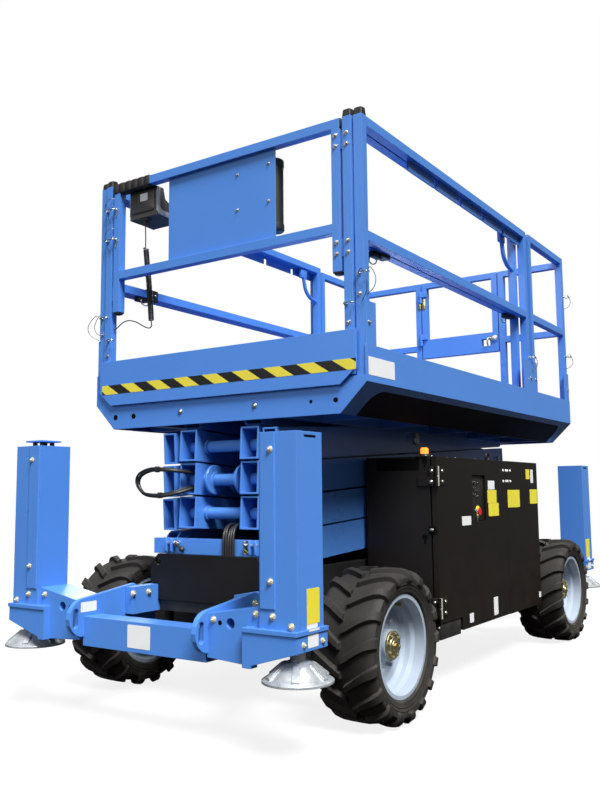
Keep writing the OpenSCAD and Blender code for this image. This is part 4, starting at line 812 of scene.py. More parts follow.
def makeOutriggerDetails(corner, values):
    end, side = wheelCorners[corner]

    def spot(x, y, z):
        return (end * x, side * y, z)

    bm = bmesh.new()
    for x, across, places in values["frontBolts"]:
        for y, z in places:
            addBolt(bm, spot(x, y, z), (end, 0, 0), across)
    for y, outward, across, places in values["sideBolts"]:
        for x, z in places:
            addBolt(bm, spot(x, y, z), (0, outward * side, 0), across)
    finishPiece(f"outrigger_bolts_{corner}", bm, "paleZinc", "chassis")

    hole, slot = values["smallHole"], values["slot"]
    left, right = mirrored(end, slot["x"])
    top = values["postTops"][end] - slot["below"]
    outline = roundRect(left, top - slot["tall"], right, top, slot["corner"])
    # painted shade in the outrigger's small hole and slot
    makePiece(f"outrigger_hole_shade_{corner}", "paintedHoleShade", "chassis", [
        (addHoleRing, spot(*hole["place"]), (end, 0, 0), hole["radius"]),
        (addSlab, outline, "y", *mirrored(side, slot["y"]))])

    for finish, plates in values["plates"].items():
        bm = bmesh.new()
        for x0, low, x1, high, face in plates:
            left, right = mirrored(end, (x0, x1))
            addPlate(bm, (left, low, right, high), "y", side * face, side)
        finishPiece(f"blank_{finish}_{corner}", bm, finish, "chassis")

    wiper = values["wiper"]
    x, y, _ = boxMiddle(f"foot_{corner}")
    ring = ringPath((x, y, wiper["ringHeight"]), (wiper["ring"], 0, 0), (0, wiper["ring"], 0), 32)
    bm = bmesh.new()
    addLathe(bm, wiper["profile"], (x, y, 0), upward, 32)
    addSweep(bm, ring, wiper["wire"], 8, closed=True)
    finishPiece(f"foot_wiper_{corner}", bm, "paleZinc", f"foot_{corner}")


for corner in wheelCorners:
    makeOutriggerDetails(corner, outrigger)

frontPlates = {"crossFace": 1.838, "cross": (-0.078, 0.332, 0.050, 0.424),
               "towFace": -0.340, "tow": (1.770, 0.455, 1.858, 0.497)}
makePiece("blank_front_plates", "whitePlate", "chassis", [
    (addPlate, frontPlates["cross"], "x", frontPlates["crossFace"], 1),
    (addPlate, frontPlates["tow"], "y", frontPlates["towFace"], 1)])

postCap = {"x": (1.724, 1.840), "y": (-0.760, -0.650), "z": (1.199, 1.207), "rounding": 0.0015,  # front right post
           "spacerHeight": 0.020, "spacerRadius": 0.011, "inset": 0.03}
makePiece("post_cap", "bluePaint", "chassis", [
    (addBlock, postCap["x"], postCap["y"], postCap["z"], postCap["rounding"])])
bm = bmesh.new()
base = postCap["z"][0]
for x in inward(postCap["x"], postCap["inset"]):
    for y in inward(postCap["y"], postCap["inset"]):
        addBar(bm, (x, y, base - postCap["spacerHeight"]), (x, y, base), postCap["spacerRadius"], 18, skin)
finishPiece("post_cap_spacers", bm, "blackPlastic", "chassis")
print("outriggers detailed")

# Cabinets: hinges, latches, plates and fasteners

cabinet = {
    "out": 0.752, "front": 0.621, "top": 1.127,
    "screws": {"xs": (-0.262, -0.306, -0.332, -0.372), "zs": (1.071, 1.010), "radius": 0.0085, "height": 0.005},
    "plates": {  # left, bottom, right, top
        "yellowPlate": {"door_l": [(-0.150, 0.890, -0.020, 0.961), (-0.179, 0.819, -0.030, 0.889)],
                        "chassis": [(-0.520, 0.860, -0.325, 0.961), (-0.832, 0.876, -0.700, 0.963),
                                    (-0.705, 1.025, -0.640, 1.085)]},
        "whitePlate": {"door_l": [(-0.125, 0.964, -0.030, 1.012), (0.215, 0.782, 0.330, 0.828),
                                  (0.218, 0.290, 0.268, 0.336), (-0.121, 0.288, -0.062, 0.383)],
                       "chassis": [(-0.768, 1.002, -0.722, 1.085), (-0.836, 0.305, -0.800, 0.338)]},
    },
}
cabinetNames = {1: ("left", "door_l"), -1: ("right", "door_r")}

hinge = {
    "rows": [(0.3555, 0.4515), (0.9820, 1.0780)],  # z from and to
    "axis": (0.626, 0.762), "knuckles": 7, "knuckleRadius": 0.0075, "chamfer": 0.0008, "gap": 0.0004,
    "head": (0.0105, 0.007),  # radius and height
    "heads": [(0.020, 0.630), (0.072, 0.6225)],  # rise from the hinge's foot, and the face under the tub's head
    "doorHead": (0.556, 0.7535), "tubHeadY": 0.727,
    "leaf": ((0.536, 0.622), (0.7515, 0.7535)), "plate": ((0.6205, 0.623), (0.707, 0.742)), "rounding": 0.0006,
}


def makeHinges(side, values):
    name, door = cabinetNames[side]
    meshes = {kind: bmesh.new() for kind in ("plate", "strip", "leaf", "heads", "screws")}
    x, y = values["axis"]
    for low, high in values["rows"]:
        step = (high - low) / values["knuckles"]
        for knuckle in range(values["knuckles"]):
            start = low + knuckle * step
            addBar(meshes["strip"], (x, side * y, start + values["gap"]), (x, side * y, start + step - values["gap"]),
                   values["knuckleRadius"], 18, values["chamfer"])
        for rise, tubFace in values["heads"]:
            doorX, doorY = values["doorHead"]
            addDome(meshes["heads"], (doorX, side * doorY, low + rise), (0, side, 0), *values["head"])
            addDome(meshes["screws"], (tubFace, side * values["tubHeadY"], low + rise), forward, *values["head"])
        for kind in ("leaf", "plate"):
            addBlock(meshes[kind], *values[kind], (low, high), values["rounding"], side)
    finishPiece(f"hinge_plate_{name}", meshes["plate"], "blackPaint", "chassis")
    finishPiece(f"hinge_strip_{name}", meshes["strip"], "paleZinc", door)
    finishPiece(f"hinge_leaf_{name}", meshes["leaf"], "blackPaint", door)
    finishPiece(f"hinge_heads_{name}", meshes["heads"], "zincBolt", door)
    finishPiece(f"hinge_screws_{name}", meshes["screws"], "zincBolt", "chassis")


cabinetFront = {
    "keyholes": [(0.692, 1.104), (0.684, 0.737)], "hole": (0.014, 0.003, 0.0012),  # y and z; radius, lip and depth
    "slit": (-0.005, -0.034, 0.005, -0.008),  # from the keyhole's middle
    "vent": ((0.423, 0.660), (1.060, 1.119)), "corner": 0.004,  # painted shade for a notch high on the face
    "latch": (0.725, 0.772), "dish": (-0.020, -0.020, 0.018, 0.020), "lever": (-0.013, -0.007, 0.010, 0.007),
    "bolt": (0.745, 0.312, 0.010),  # y, z and size across flats
    "channel": ((0.372, 0.604), (0.640, 0.748), (0.252, 0.3275)),  # folded, below the door's front corner
    "eye": {"place": (-0.190, 0.690), "radius": 0.022, "rise": 0.020, "wire": 0.0065, "foot": 0.018, "footTop": 0.006},
}


def makeFrontFace(side, values):
    name = cabinetNames[side][0]
    face, top = cabinet["front"], cabinet["top"]
    bm = bmesh.new()
    # painted shade in the keyholes and their slits
    for y, z in values["keyholes"]:
        addHoleRing(bm, (face, side * y, z), forward, *values["hole"])
        addSlab(bm, rectAt(side * y, z, values["slit"], values["corner"]), "x", face - skin, face + 0.0007)
    # painted shade in the vent notch
    left, right = mirrored(side, values["vent"][0])
    bottom, ventTop = values["vent"][1]
    addSlab(bm, roundRect(left, bottom, right, ventTop, values["corner"]), "x", face - skin, face + 0.0006)
    # painted shade in the dish behind the latch lever
    y, z = values["latch"]
    addSlab(bm, rectAt(side * y, z, values["dish"], 0.010), "x", face - skin, face + 0.003, 0.001)
    finishPiece(f"cabinet_keyholes_{name}", bm, "paintedHoleShade", "chassis")
    boltY, boltZ, across = values["bolt"]
    makePiece(f"cabinet_latch_{name}", "zincBolt", "chassis", [
        (addSlab, rectAt(side * y, z, values["lever"], 0.006), "x", face + 0.002, face + 0.011, 0.002),
        (addBolt, (face, side * boltY, boltZ), forward, across)])
    makePiece(f"step_channel_{name}", "blackSteel", "chassis", [(addBlock, *values["channel"], 0.003, side)])
    eye = values["eye"]
    x, y = eye["place"][0], side * eye["place"][1]
    ring = ringPath((x, y, top + eye["rise"]), (eye["radius"], 0, 0), (0, 0, eye["radius"]), 28)
    makePiece(f"lifting_eye_{name}", "blackSteel", "chassis", [
        (addSweep, ring, eye["wire"], 10, True),
        (addBar, (x, y, top - skin), (x, y, top + eye["footTop"]), eye["foot"], 20, skin)])


for side in bothSides:
    makeHinges(side, hinge)
    makeFrontFace(side, cabinetFront)

for finish, bodies in cabinet["plates"].items():
    for body, rects in bodies.items():
        makePiece(f"blank_{finish}s_{body}", finish, body, [(addPlate, rect, "y", cabinet["out"], 1) for rect in rects])

screws = cabinet["screws"]
makePiece("cabinet_screws", "whitePlate", "chassis", [
    (addDome, (x, cabinet["out"], z), leftward, screws["radius"], screws["height"])
    for x in screws["xs"] for z in screws["zs"]])

# Ground controls in the left door

controls = {
    "face": 0.734, "panel": (0.008, 0.799, 0.183, 1.038), "corner": 0.020,
    "toggles": [(0.140, 1.000), (0.140, 0.968), (0.105, 0.995), (0.105, 0.955), (0.105, 0.925), (0.140, 0.935)],
    "nut": 0.0095, "lever": 0.0026, "leverLean": (0.003, 0.006),
    "keySwitch": (0.120, 0.850), "lock": 0.012, "ringSize": (0.012, 0.014), "ringWire": 0.0011,
    "stop": (0.083, 0.847), "stopRadius": 0.021,
    "collar": [(1.5, 0.004), (1.5, 0.0078), (1.4, 0.009), (0.9, 0.009), (0, 0.009)],  # share of the radius, height
    "button": [(0.55, 0.008), (0.6, 0.013), (1.0, 0.0135), (1.0, 0.016), (0.9, 0.0178), (0, 0.0178)],
}
face = controls["face"]
bm = bmesh.new()
addSlab(bm, roundRect(*controls["panel"], controls["corner"]), "y", face - skin, face + 0.006, 0.001)
for x, z in controls["toggles"]:
    addBar(bm, (x, face + 0.005, z), (x, face + 0.009, z), controls["nut"], 18, skin)
finishPiece("control_panel", bm, "blackPlastic", "door_l")

bm = bmesh.new()
leanX, leanZ = controls["leverLean"]
for x, z in controls["toggles"]:
    addBar(bm, (x, face + 0.008, z), (x + leanX, face + 0.0175, z + leanZ), controls["lever"], 12, 0.0005)
x, z = controls["keySwitch"]
addBar(bm, (x, face + 0.005, z), (x, face + 0.012, z), controls["lock"], 20, skin)
addBlock(bm, (x - 0.0015, x + 0.0015), (face + 0.010, face + 0.0175), (z - 0.010, z + 0.010), 0.0005)  # key
addBlock(bm, (x - 0.010, x + 0.002), (face + 0.012, face + 0.014), (z - 0.062, z - 0.018), 0.0005)  # its tag
wide, tall = controls["ringSize"]
keyRing = ringPath((x - 0.004, face + 0.0145, z - 0.012), (wide, 0, 0), (0, 0, tall), 24)
addSweep(bm, keyRing, controls["ringWire"], 6, closed=True)
finishPiece("control_switches", bm, "zincBolt", "door_l")

x, z = controls["stop"]
for name, part, finish, shift in (("stop_collar", "collar", "yellowPlate", 0.010),
                                  ("stop_button", "button", "redPlastic", 0.004)):
    profile = [(share * controls["stopRadius"], height) for share, height in controls[part]]
    makePiece(name, finish, "door_l", [(addLathe, profile, (x + shift, face, z), leftward, 32)])

# Beacon foot and the screws on the cabinet's top

beaconFoot = {
    "profile": [(0.027, -0.001), (0.027, 0.010), (0.0245, 0.0135), (0.0215, 0.0135), (0.0215, 0.005), (0, 0.005)],
    "plate": (0.036, 0.030, 0.003),  # half length, half width and thickness
    "screwX": 0.030, "screwY": 0.024, "topScrews": [(0.46, 0.735), (0.36, 0.735), (0.10, 0.735)],
}
x, y, _ = boxMiddle("beacon")
top = cabinet["top"]
halfX, halfY, thick = beaconFoot["plate"]
makePiece("beacon_foot", "blackPlastic", "chassis", [
    (addLathe, beaconFoot["profile"], (x, y, top), upward, 32),
    (addBlock, (x - halfX, x + halfX), (y - halfY, y + halfY), (top - skin, top + thick), 0.001)])
makePiece("cabinet_top_screws", "zincBolt", "chassis", [
    *[(addDome, (x + sign * beaconFoot["screwX"], y + beaconFoot["screwY"], top + thick), upward, 0.004, 0.003)
      for sign in (-1, 1)],
    *[(addDome, (*place, top - 0.002), upward, 0.007, 0.004) for place in beaconFoot["topScrews"]]])
print("cabinets detailed")

# Platform: stripe, plates, bolts and holes

deck = {
    "boardFace": 1.390, "deckFace": 1.372, "side": 0.805, "postFace": 1.378, "panelFace": 1.3577,
    "railTop": 2.567, "tube": 0.042,
    "stripe": (-0.746, 1.461, 0.764, 1.508), "sidePlate": (1.128, 1.438, 1.356, 1.515),
    "boltSize": 0.013, "panelBoltSize": 0.011,
    "postBolts": [(y, z) for z in (2.492, 2.443, 2.016, 1.966) for y in (0.727, 0.671)],  # left side only
    "footBolt": (0.725, 1.663), "cornerBolt": (1.366, 0.774, 1.782),
    "sideBolts": [(1.345, 1.660), (-0.655, 1.640), (-0.744, 1.640), (-1.402, 1.640)],  # x and z
    "panelBolts": [(0.115, 2.449), (0.297, 2.462), (0.115, 2.277), (0.297, 2.284)],
    "frontDomes": [(-0.223, 1.345), (0.224, 1.345)], "dome": (0.0135, 0.008),
    "frontHoles": [(-0.664, 0.014), (-0.537, 0.013), (0.528, 0.008), (0.650, 0.009)], "holeHeight": 1.343,
}
makePiece("hazard_stripe", "hazardStripes", "extension", [
    (addPlate, deck["stripe"], "x", deck["boardFace"], 1, 0.0008, 0.001)])
makePiece("blank_side_plate", "whitePlate", "platform", [(addPlate, deck["sidePlate"], "y", deck["side"], 1)])
# painted shade in the deck's front holes
makePiece("deck_front_holes", "paintedHoleShade", "platform", [
    (addHoleRing, (deck["deckFace"], y, deck["holeHeight"]), forward, radius) for y, radius in deck["frontHoles"]])

footY, footZ = deck["footBolt"]
cornerX, cornerY, cornerZ = deck["cornerBolt"]
makePiece("extension_bolts", "zincBolt", "extension", [
    *[(addBolt, (deck["postFace"], y, z), forward, deck["boltSize"]) for y, z in deck["postBolts"]],
    *[(addBolt, (deck["postFace"], side * footY, footZ), forward, deck["boltSize"]) for side in bothSides],
    *[(addBolt, (deck["panelFace"], y, z), forward, deck["panelBoltSize"]) for y, z in deck["panelBolts"]]])
makePiece("platform_bolts", "zincBolt", "platform", [
    *[(addBolt, (cornerX, side * cornerY, cornerZ), forward, deck["boltSize"]) for side in bothSides],
    *[(addBolt, (x, side * deck["side"], z), (0, side, 0), deck["boltSize"])
      for side in bothSides for x, z in deck["sideBolts"]],
    *[(addDome, (deck["deckFace"], y, z), forward, *deck["dome"]) for y, z in deck["frontDomes"]]])

# Painted shade: dark sheets on the bevels below the skirts stand for their unlit underside

underside = {"top": (0.805, 1.410), "low": (0.675, 1.283),  # y and z of the bevel's edges
             "x": (-1.290, 1.245), "fromShare": 0.20, "corner": 0.075, "cornerSteps": 8, "sunk": 0.0006,
             "proud": 0.0010}


def addBevelShadePanel(bm, side, values):  # painted shade sheet, flat on the bevel, with its two upper corners rounded
    slope = Vector((0, values["low"][0] - values["top"][0], values["low"][1] - values["top"][1]))
    normal = Vector((0, -slope.z, slope.y)).normalized()
    length, radius, steps = slope.length, values["corner"], values["cornerSteps"]
    rear, front = values["x"]
    outline = [(rear, length), (front, length)]  # x and distance down the slope
    for middle, start in ((front - radius, 0), (rear + radius, 1)):
        for i in range(steps + 1):
            turn = math.pi / 2 * (start + i / steps)
            outline.append((middle + radius * math.cos(turn),
                            values["fromShare"] * length + radius - radius * math.sin(turn)))
    rings = []
    for lift in (-values["sunk"], values["proud"]):
        places = [Vector((x, *values["top"])) + slope * (down / length) + normal * lift for x, down in outline]
        rings.append([bm.verts.new((place.x, side * place.y, place.z)) for place in places])
    bm.faces.new(rings[1])
    bm.faces.new(rings[0][::-1])
    joinRings(bm, *rings)


makePiece("underside_shade_panels", "paintedUnderShade", "platform", [(addBevelShadePanel, side, underside) for side in bothSides])

# Black caps on the open ends of the rail tubes

caps = {
    "height": 0.038, "frontShare": 0.86, "taper": 0.003,
    "extensionPost": (1.3567, 0.727), "platformPost": (1.345, 0.776),
    "legPlugs": [((1.3360, 1.3774), (0.650, 0.692), (1.883, 1.8892), 0.002),
                 ((1.3410, 1.3724), (0.655, 0.687), (1.876, 1.8852), 0.003)],  # ranges in x, y and z, and rounding
    "barPlug": ((1.3362, 1.3772), (0.6918, 0.698), (2.5255, 2.5665), 0.002),
}


def addCap(bm, place, tube, values):  # tapered plug with a slanting top, standing on a tube's end
    x, y, z = place
    half, top = tube / 2, tube / 2 - values["taper"]
    corners = ((-1, -1), (1, -1), (1, 1), (-1, 1))
    low = [bm.verts.new((x + i * half, y + j * half, z)) for i, j in corners]
    high = [bm.verts.new((x + i * top, y + j * top, z + values["height"] * (values["frontShare"] if i > 0 else 1.0)))
            for i, j in corners]
    bm.faces.new(high)
    bm.faces.new(low[::-1])
    sides = joinRings(bm, low, high)
    edges = {edge for face in sides for edge in face.edges if edge.verts[0] in high or edge.verts[1] in high}
    bmesh.ops.bevel(bm, geom=list(edges), offset=values["taper"], segments=2, affect="EDGES")


def capShapes(post):
    x, y = caps[post]
    return [(addCap, (x, side * y, deck["railTop"]), deck["tube"], caps) for side in bothSides]


makePiece("extension_caps", "blackPlastic", "extension", capShapes("extensionPost") + [
    (addBlock, *plug, side) for side in bothSides for plug in (*caps["legPlugs"], caps["barPlug"])])
makePiece("platform_caps", "blackPlastic", "platform", capShapes("platformPost"))

# Ribbed grip on the front rail, over the control box

grip = {"x": (1.3317, 1.3817), "y": (-0.703, -0.435), "z": (2.519, 2.573), "ribs": 6, "gap": 0.003, "rounding": 0.006,
        "core": ((1.3337, 1.3797), (-0.699, -0.439), (2.521, 2.570), 0.003)}
start, end = grip["y"]
step = (end - start) / grip["ribs"]
makePiece("rail_grip", "blackPlastic", "extension", [(addBlock, *grip["core"])] + [
    (addBlock, grip["x"], inward((start + i * step, start + (i + 1) * step), grip["gap"]), grip["z"], grip["rounding"])
    for i in range(grip["ribs"])])

# Wire pins on the posts: a pin with a collar, a spring bail and a lanyard

pin = {"radius": 0.005, "sunk": 0.003, "out": 0.022, "collar": (0.004, 0.009), "collarRadius": 0.009, "wire": 0.0026,
       "cable": 0.0017}


def addBail(bm, place, along, span=0.052, reach=0.030):  # pin along a direction with a wire bail round the tube
    place, along = Vector(place), Vector(along)
    side = Vector(upward).cross(along) * math.copysign(1.0, span)
    span = abs(span)
    start, end = pin["collar"]
    addBar(bm, place - along * pin["sunk"], place + along * pin["out"], pin["radius"], 12, skin)
    addBar(bm, place + along * start, place + along * end, pin["collarRadius"], 14, 0.0015)
    bends = [(0.018, 0), (reach, 0.010), (reach, span - 0.008), (reach - 0.010, span), (0.002, span - 0.002)]
    addSweep(bm, smoothPath([place + along * out + side * across for out, across in bends], 5), pin["wire"], 8)


def addLanyard(bm, start, end, out):  # thin cable in a loop from a pin to a rivet
    start, end, out = Vector(start), Vector(end), Vector(out)
    loop = [start, start + out * 0.45 + Vector((0, 0, 0.012)), start.lerp(end, 0.35) + out,
            start.lerp(end, 0.75) + out * 0.8, end]
    addSweep(bm, smoothPath(loop, 7), pin["cable"], 6)


railPins = {"side": [(-0.654, 1.770), (-1.402, 1.872), (-1.402, 2.292)], "sideFace": 0.797,
            "front": (1.366, 0.776, 1.867), "frontSize": (0.050, 0.026),
            "face": 1.3777, "extension": [2.433, 2.272], "extensionSize": (-0.070, 0.026),  # right post only
            "low": (0.716, 1.742), "lowSize": (0.046, 0.026)}
bails, cables = bmesh.new(), bmesh.new()
for side in bothSides:
    wall = side * railPins["sideFace"]
    for x, z in railPins["side"]:
        addBail(bails, (x, wall, z), (0, side, 0))
        addLanyard(cables, (x, wall + side * 0.015, z), (x - 0.012, wall, z - 0.085), (-0.035, side * 0.030, 0))
    x, y, z = railPins["front"]
    addBail(bails, (x, side * y, z), forward, *railPins["frontSize"])
    addLanyard(cables, (x + 0.012, side * y, z), (x, side * (y + 0.009), z - 0.118), (0.040, side * 0.055, 0))
    addLanyard(cables, (x - 0.020, wall, z + 0.012), (x - 0.020, wall, z - 0.090), (0.012, side * 0.050, 0))
finishPiece("rail_pins", bails, "zincBolt", "platform")
finishPiece("rail_lanyards", cables, "wireSteel", "platform")

bails, cables = bmesh.new(), bmesh.new()
face = railPins["face"]
for z in railPins["extension"]:
    addBail(bails, (face, -0.673, z), forward, *railPins["extensionSize"])
    addBar(bails, (face + 0.0013, -0.664, z - 0.004), (face + 0.0013, -0.676, z - 0.040), 0.0042, 10, skin)
    addBar(bails, (face, -0.735, z), (face + 0.0153, -0.735, z), 0.0065, 12, skin)
    addLanyard(cables, (face + 0.0143, -0.735, z), (face, -0.690, z + 0.062), (0.014, -0.006, 0.020))
    addLanyard(cables, (face + 0.0143, -0.673, z), (face, -0.716, z - 0.060), (0.012, -0.020, 0))
for side in bothSides:
    y, z = railPins["low"]
    addBail(bails, (face, side * y, z), forward, *railPins["lowSize"])
finishPiece("extension_pins", bails, "zincBolt", "extension")
finishPiece("extension_lanyards", cables, "wireSteel", "extension")

# Latches under the middle rails of the extension, and the bent push handles at its rear

latch = {
    "xs": [1.110, -0.500], "rail": 2.0178, "y": 0.727,  # places below are from these
    "case": ((-0.075, 0.008), (0.701, 0.7495), (-0.014, 0.050)), "rounding": 0.005,
    "tongue": ((-0.004, 0.070), (0.712, 0.742), (-0.026, -0.001)),
    "roller": (0.050, 0.020, -0.014, 0.010),  # x, half width, z and radius
    "bow": [(0.050, 0.018, -0.016), (0.048, 0.022, -0.038), (0.020, 0.022, -0.046), (-0.004, 0.018, -0.036),
            (-0.010, 0.012, -0.012)], "wire": 0.0034,
    "bolts": [(-0.055, 0.020), (-0.015, 0.020)], "boltFace": 0.026, "boltSize": 0.009,
}
cases, metal = bmesh.new(), bmesh.new()
top = latch["rail"]
for x in latch["xs"]:
    for side in bothSides:
        y = side * latch["y"]
        for xs, ys, zs in (latch["case"], latch["tongue"]):
            addBlock(cases, shifted(x, xs), ys, shifted(top, zs), latch["rounding"], side)
        ahead, half, down, radius = latch["roller"]
        addBar(cases, (x + ahead, y - half, top + down), (x + ahead, y + half, top + down), radius, 16, 0.002)
        bow = [(x + dx, y - side * dy, top + dz) for dx, dy, dz in latch["bow"]]
        addSweep(metal, smoothPath(bow, 6), latch["wire"], 10)
        for dx, dz in latch["bolts"]:
            addBolt(metal, (x + dx, y - side * latch["boltFace"], top + dz), (0, -side, 0), latch["boltSize"])
finishPiece("extension_latches", cases, "blackPlastic", "extension")
finishPiece("latch_wires", metal, "zincBolt", "extension")

handle = {
    "y": 0.727, "radius": 0.013,
    "path": [(-0.436, 2.500), (-0.447, 2.440), (-0.470, 2.375), (-0.520, 2.335), (-0.590, 2.318), (-0.612, 2.316)],
    "root": ((-0.470, -0.400), (0.715, 0.739), (2.455, 2.5255), 0.003),
    "bolts": [(-0.436, 0.739, 2.478), (-0.600, 0.748, 2.478)], "boltSize": 0.013,
}
bars, metal = bmesh.new(), bmesh.new()
for side in bothSides:
    path = [(x, side * handle["y"], z) for x, z in handle["path"]]
    addSweep(bars, smoothPath(path, 6), handle["radius"], 14)
    addBlock(bars, *handle["root"], side)
    for x, y, z in handle["bolts"]:
        addBolt(metal, (x, side * y, z), (0, side, 0), handle["boltSize"])
finishPiece("push_handles", bars, "bluePaint", "extension")
finishPiece("handle_bolts", metal, "zincBolt", "extension")

# Gate: brass hinge leaves and a latch

gate = {
    "y": -0.274, "barX": -1.425, "barRadius": 0.0055, "leaves": [(2.058, 2.133), (2.388, 2.463)],  # z from and to
    "leaf": ((-1.4245, -1.4205), (-0.304, -0.244)), "overhang": 0.002,
    "innerX": (-1.3812, -1.3782), "innerZ": (2.337, 2.419), "postLeaf": (-0.300, -0.278), "gateLeaf": (-0.270, -0.240),
    "innerScrews": [(-1.3784, -0.252, 2.352), (-1.3784, -0.252, 2.404)], "innerScrew": (0.005, 0.003),
    "screwY": -0.294, "screwRises": (0.015, 0.060), "screw": (0.004, 0.003),
    "latch": ((-1.3805, -1.3685), (0.267, 0.324), (2.037, 2.073), 0.004),
    "lever": [(-1.372, 0.272, 2.055), (-1.350, 0.262, 2.051), (-1.345, 0.260, 2.020), (-1.352, 0.262, 1.995)],
    "leverRadius": 0.006,
}
bm = bmesh.new()
for low, high in gate["leaves"]:
    addBlock(bm, *gate["leaf"], (low, high), 0.001)
    addBar(bm, (gate["barX"], gate["y"], low - gate["overhang"]), (gate["barX"], gate["y"], high + gate["overhang"]),
           gate["barRadius"], 16, skin)
addBlock(bm, gate["innerX"], gate["postLeaf"], gate["innerZ"], 0.0008)
finishPiece("gate_hinges", bm, "brass", "platform")
makePiece("gate_hinge_leaf", "brass", "gate", [(addBlock, gate["innerX"], gate["gateLeaf"], gate["innerZ"], 0.0008)] + [
    (addDome, place, forward, *gate["innerScrew"]) for place in gate["innerScrews"]])
makePiece("gate_hinge_screws", "zincBolt", "platform", [
    (addDome, (gate["leaf"][0][0], gate["screwY"], low + rise), (-1, 0, 0), *gate["screw"])
    for low, high in gate["leaves"] for rise in gate["screwRises"]])
makePiece("gate_latch", "zincBolt", "gate", [
    (addBlock, *gate["latch"]), (addSweep, smoothPath(gate["lever"], 5), gate["leverRadius"], 10)])

# Control box: cover, blank plate, bracket, glands, joystick bellows, a red stop and switches

box = {
    "front": 1.3354, "coverFace": 1.3404, "cover": (-0.607, 2.402, -0.442, 2.5127), "corner": 0.012,
    "glandBlock": ((1.292, 1.330), (-0.560, -0.500), (2.362, 2.373), 0.003), "glandTop": 2.363,
    "cordGland": [(0.012, 0.0), (0.012, -0.010), (0.009, -0.014), (0.006, -0.026), (0.0032, -0.027)],
    "blindGland": [(0.008, 0.0), (0.008, -0.012), (0.005, -0.016), (0, -0.016)],
    "cordPlace": (1.312, -0.530), "blindPlaces": [(1.305, -0.548), (1.305, -0.512)],
    "plate": (-0.541, 2.459, -0.488, 2.499),
    "bracketSides": [(-0.430, -0.426), (-0.621, -0.617)],
    "bracket": [(1.3350, 2.5240), (1.3350, 2.3960), (1.3230, 2.3790), (1.1580, 2.3700), (1.1580, 2.3980),
                (1.2960, 2.4040), (1.3120, 2.4180), (1.3120, 2.5240)],  # x and z
    "stick": (1.2254, -0.5547, 2.4472), "folds": 4, "foldRise": 0.007,
    "crest": (0.026, 0.0040), "root": (0.020, 0.0036),  # radius of the lowest, and how much each next one loses
    "stopPlace": (1.2354, -0.47675, 0),
    "stop": [(0.0162, 2.452), (0.0205, 2.4585), (0.0205, 2.4665), (0.0175, 2.4700), (0, 2.4700)],
    "switches": [(1.195, -0.470, 2.430), (1.190, -0.500, 2.430), (1.185, -0.600, 2.430)], "switchLean": (0.1, 0, 1),
    "switch": [(0.007, -0.004), (0.007, 0.006), (0.003, 0.009), (0.0024, 0.026), (0, 0.027)],
}
makePiece("control_box_cover", "greyPlastic", "extension", [
    (addSlab, roundRect(*box["cover"], box["corner"]), "x", box["front"] - skin, box["coverFace"], 0.002),
    (addBlock, *box["glandBlock"]),
    (addLathe, box["cordGland"], (*box["cordPlace"], box["glandTop"]), upward, 20),
    *[(addLathe, box["blindGland"], (*place, box["glandTop"]), upward, 14) for place in box["blindPlaces"]]])
makePiece("blank_box_plate", "whitePlate", "extension", [(addPlate, box["plate"], "x", box["coverFace"], 1)])
makePiece("box_bracket", "zincCast", "extension", [
    (addSlab, box["bracket"], "y", low, high, 0.001) for low, high in box["bracketSides"]])
stickX, stickY, faceZ = box["stick"]
bellows = [(0.027, faceZ - 0.012)]
for i in range(box["folds"]):
    for (radius, loss), rise in ((box["crest"], 0.002), (box["root"], 0.006)):
        bellows.append((radius - loss * i, faceZ + rise + box["foldRise"] * i))
bellows.append((0.0072, faceZ + 0.032))
makePiece("joystick_boot", "blackPlastic", "extension", [(addLathe, bellows, (stickX, stickY, 0), upward, 28)])
makePiece("box_stop", "redPlastic", "extension", [(addLathe, box["stop"], box["stopPlace"], upward, 28)])
makePiece("box_switches", "zincBolt", "extension", [
    (addLathe, box["switch"], place, box["switchLean"], 14) for place in box["switches"]])

# Document tube caps

tubeCap = [(0.040, 0.0), (0.0405, 0.004), (0.036, 0.008), (0.010, 0.009), (0, 0.009)]
x, y, _ = boxMiddle("document_tube")
tubeLow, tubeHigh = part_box("document_tube")
makePiece("document_tube_caps", "blackPlastic", "extension", [
    (addLathe, [(radius, up * rise) for radius, rise in tubeCap], (x, y, z), upward, 32)
    for z, up in ((tubeHigh[2], 1), (tubeLow[2], -1))])
print("platform detailed")

# Scissor stack: pin keepers, grease nipples, lugs, hoses and the bar in front

stack = {
    "pinX": 1.270, "pinLow": 0.706, "pitch": 0.157, "levels": 4,
    "armFace": 0.338, "pinFace": 0.344, "footPinFace": 0.3635,
    "keeper": [(0.033, -0.0055), (0.033, 0.001), (0.031, 0.003), (0.018, 0.003), (0.016, 0.0055), (0, 0.0055)],
    "keeperBolts": (0.6, 2.7, 4.8), "keeperRing": 0.0255, "keeperTop": 0.003, "keeperBolt": 0.008,
    "nipple": [(0.0195, -0.002), (0.0195, 0.0015), (0.017, 0.003), (0.006, 0.003), (0.006, 0.006), (0.0025, 0.011),
               (0, 0.011)],
    "lockBolt": (0.052, 0.004, 0.014),  # back from the pin, above it, and size across flats
}


def pinHeight(row):
    return stack["pinLow"] + row * stack["pitch"]


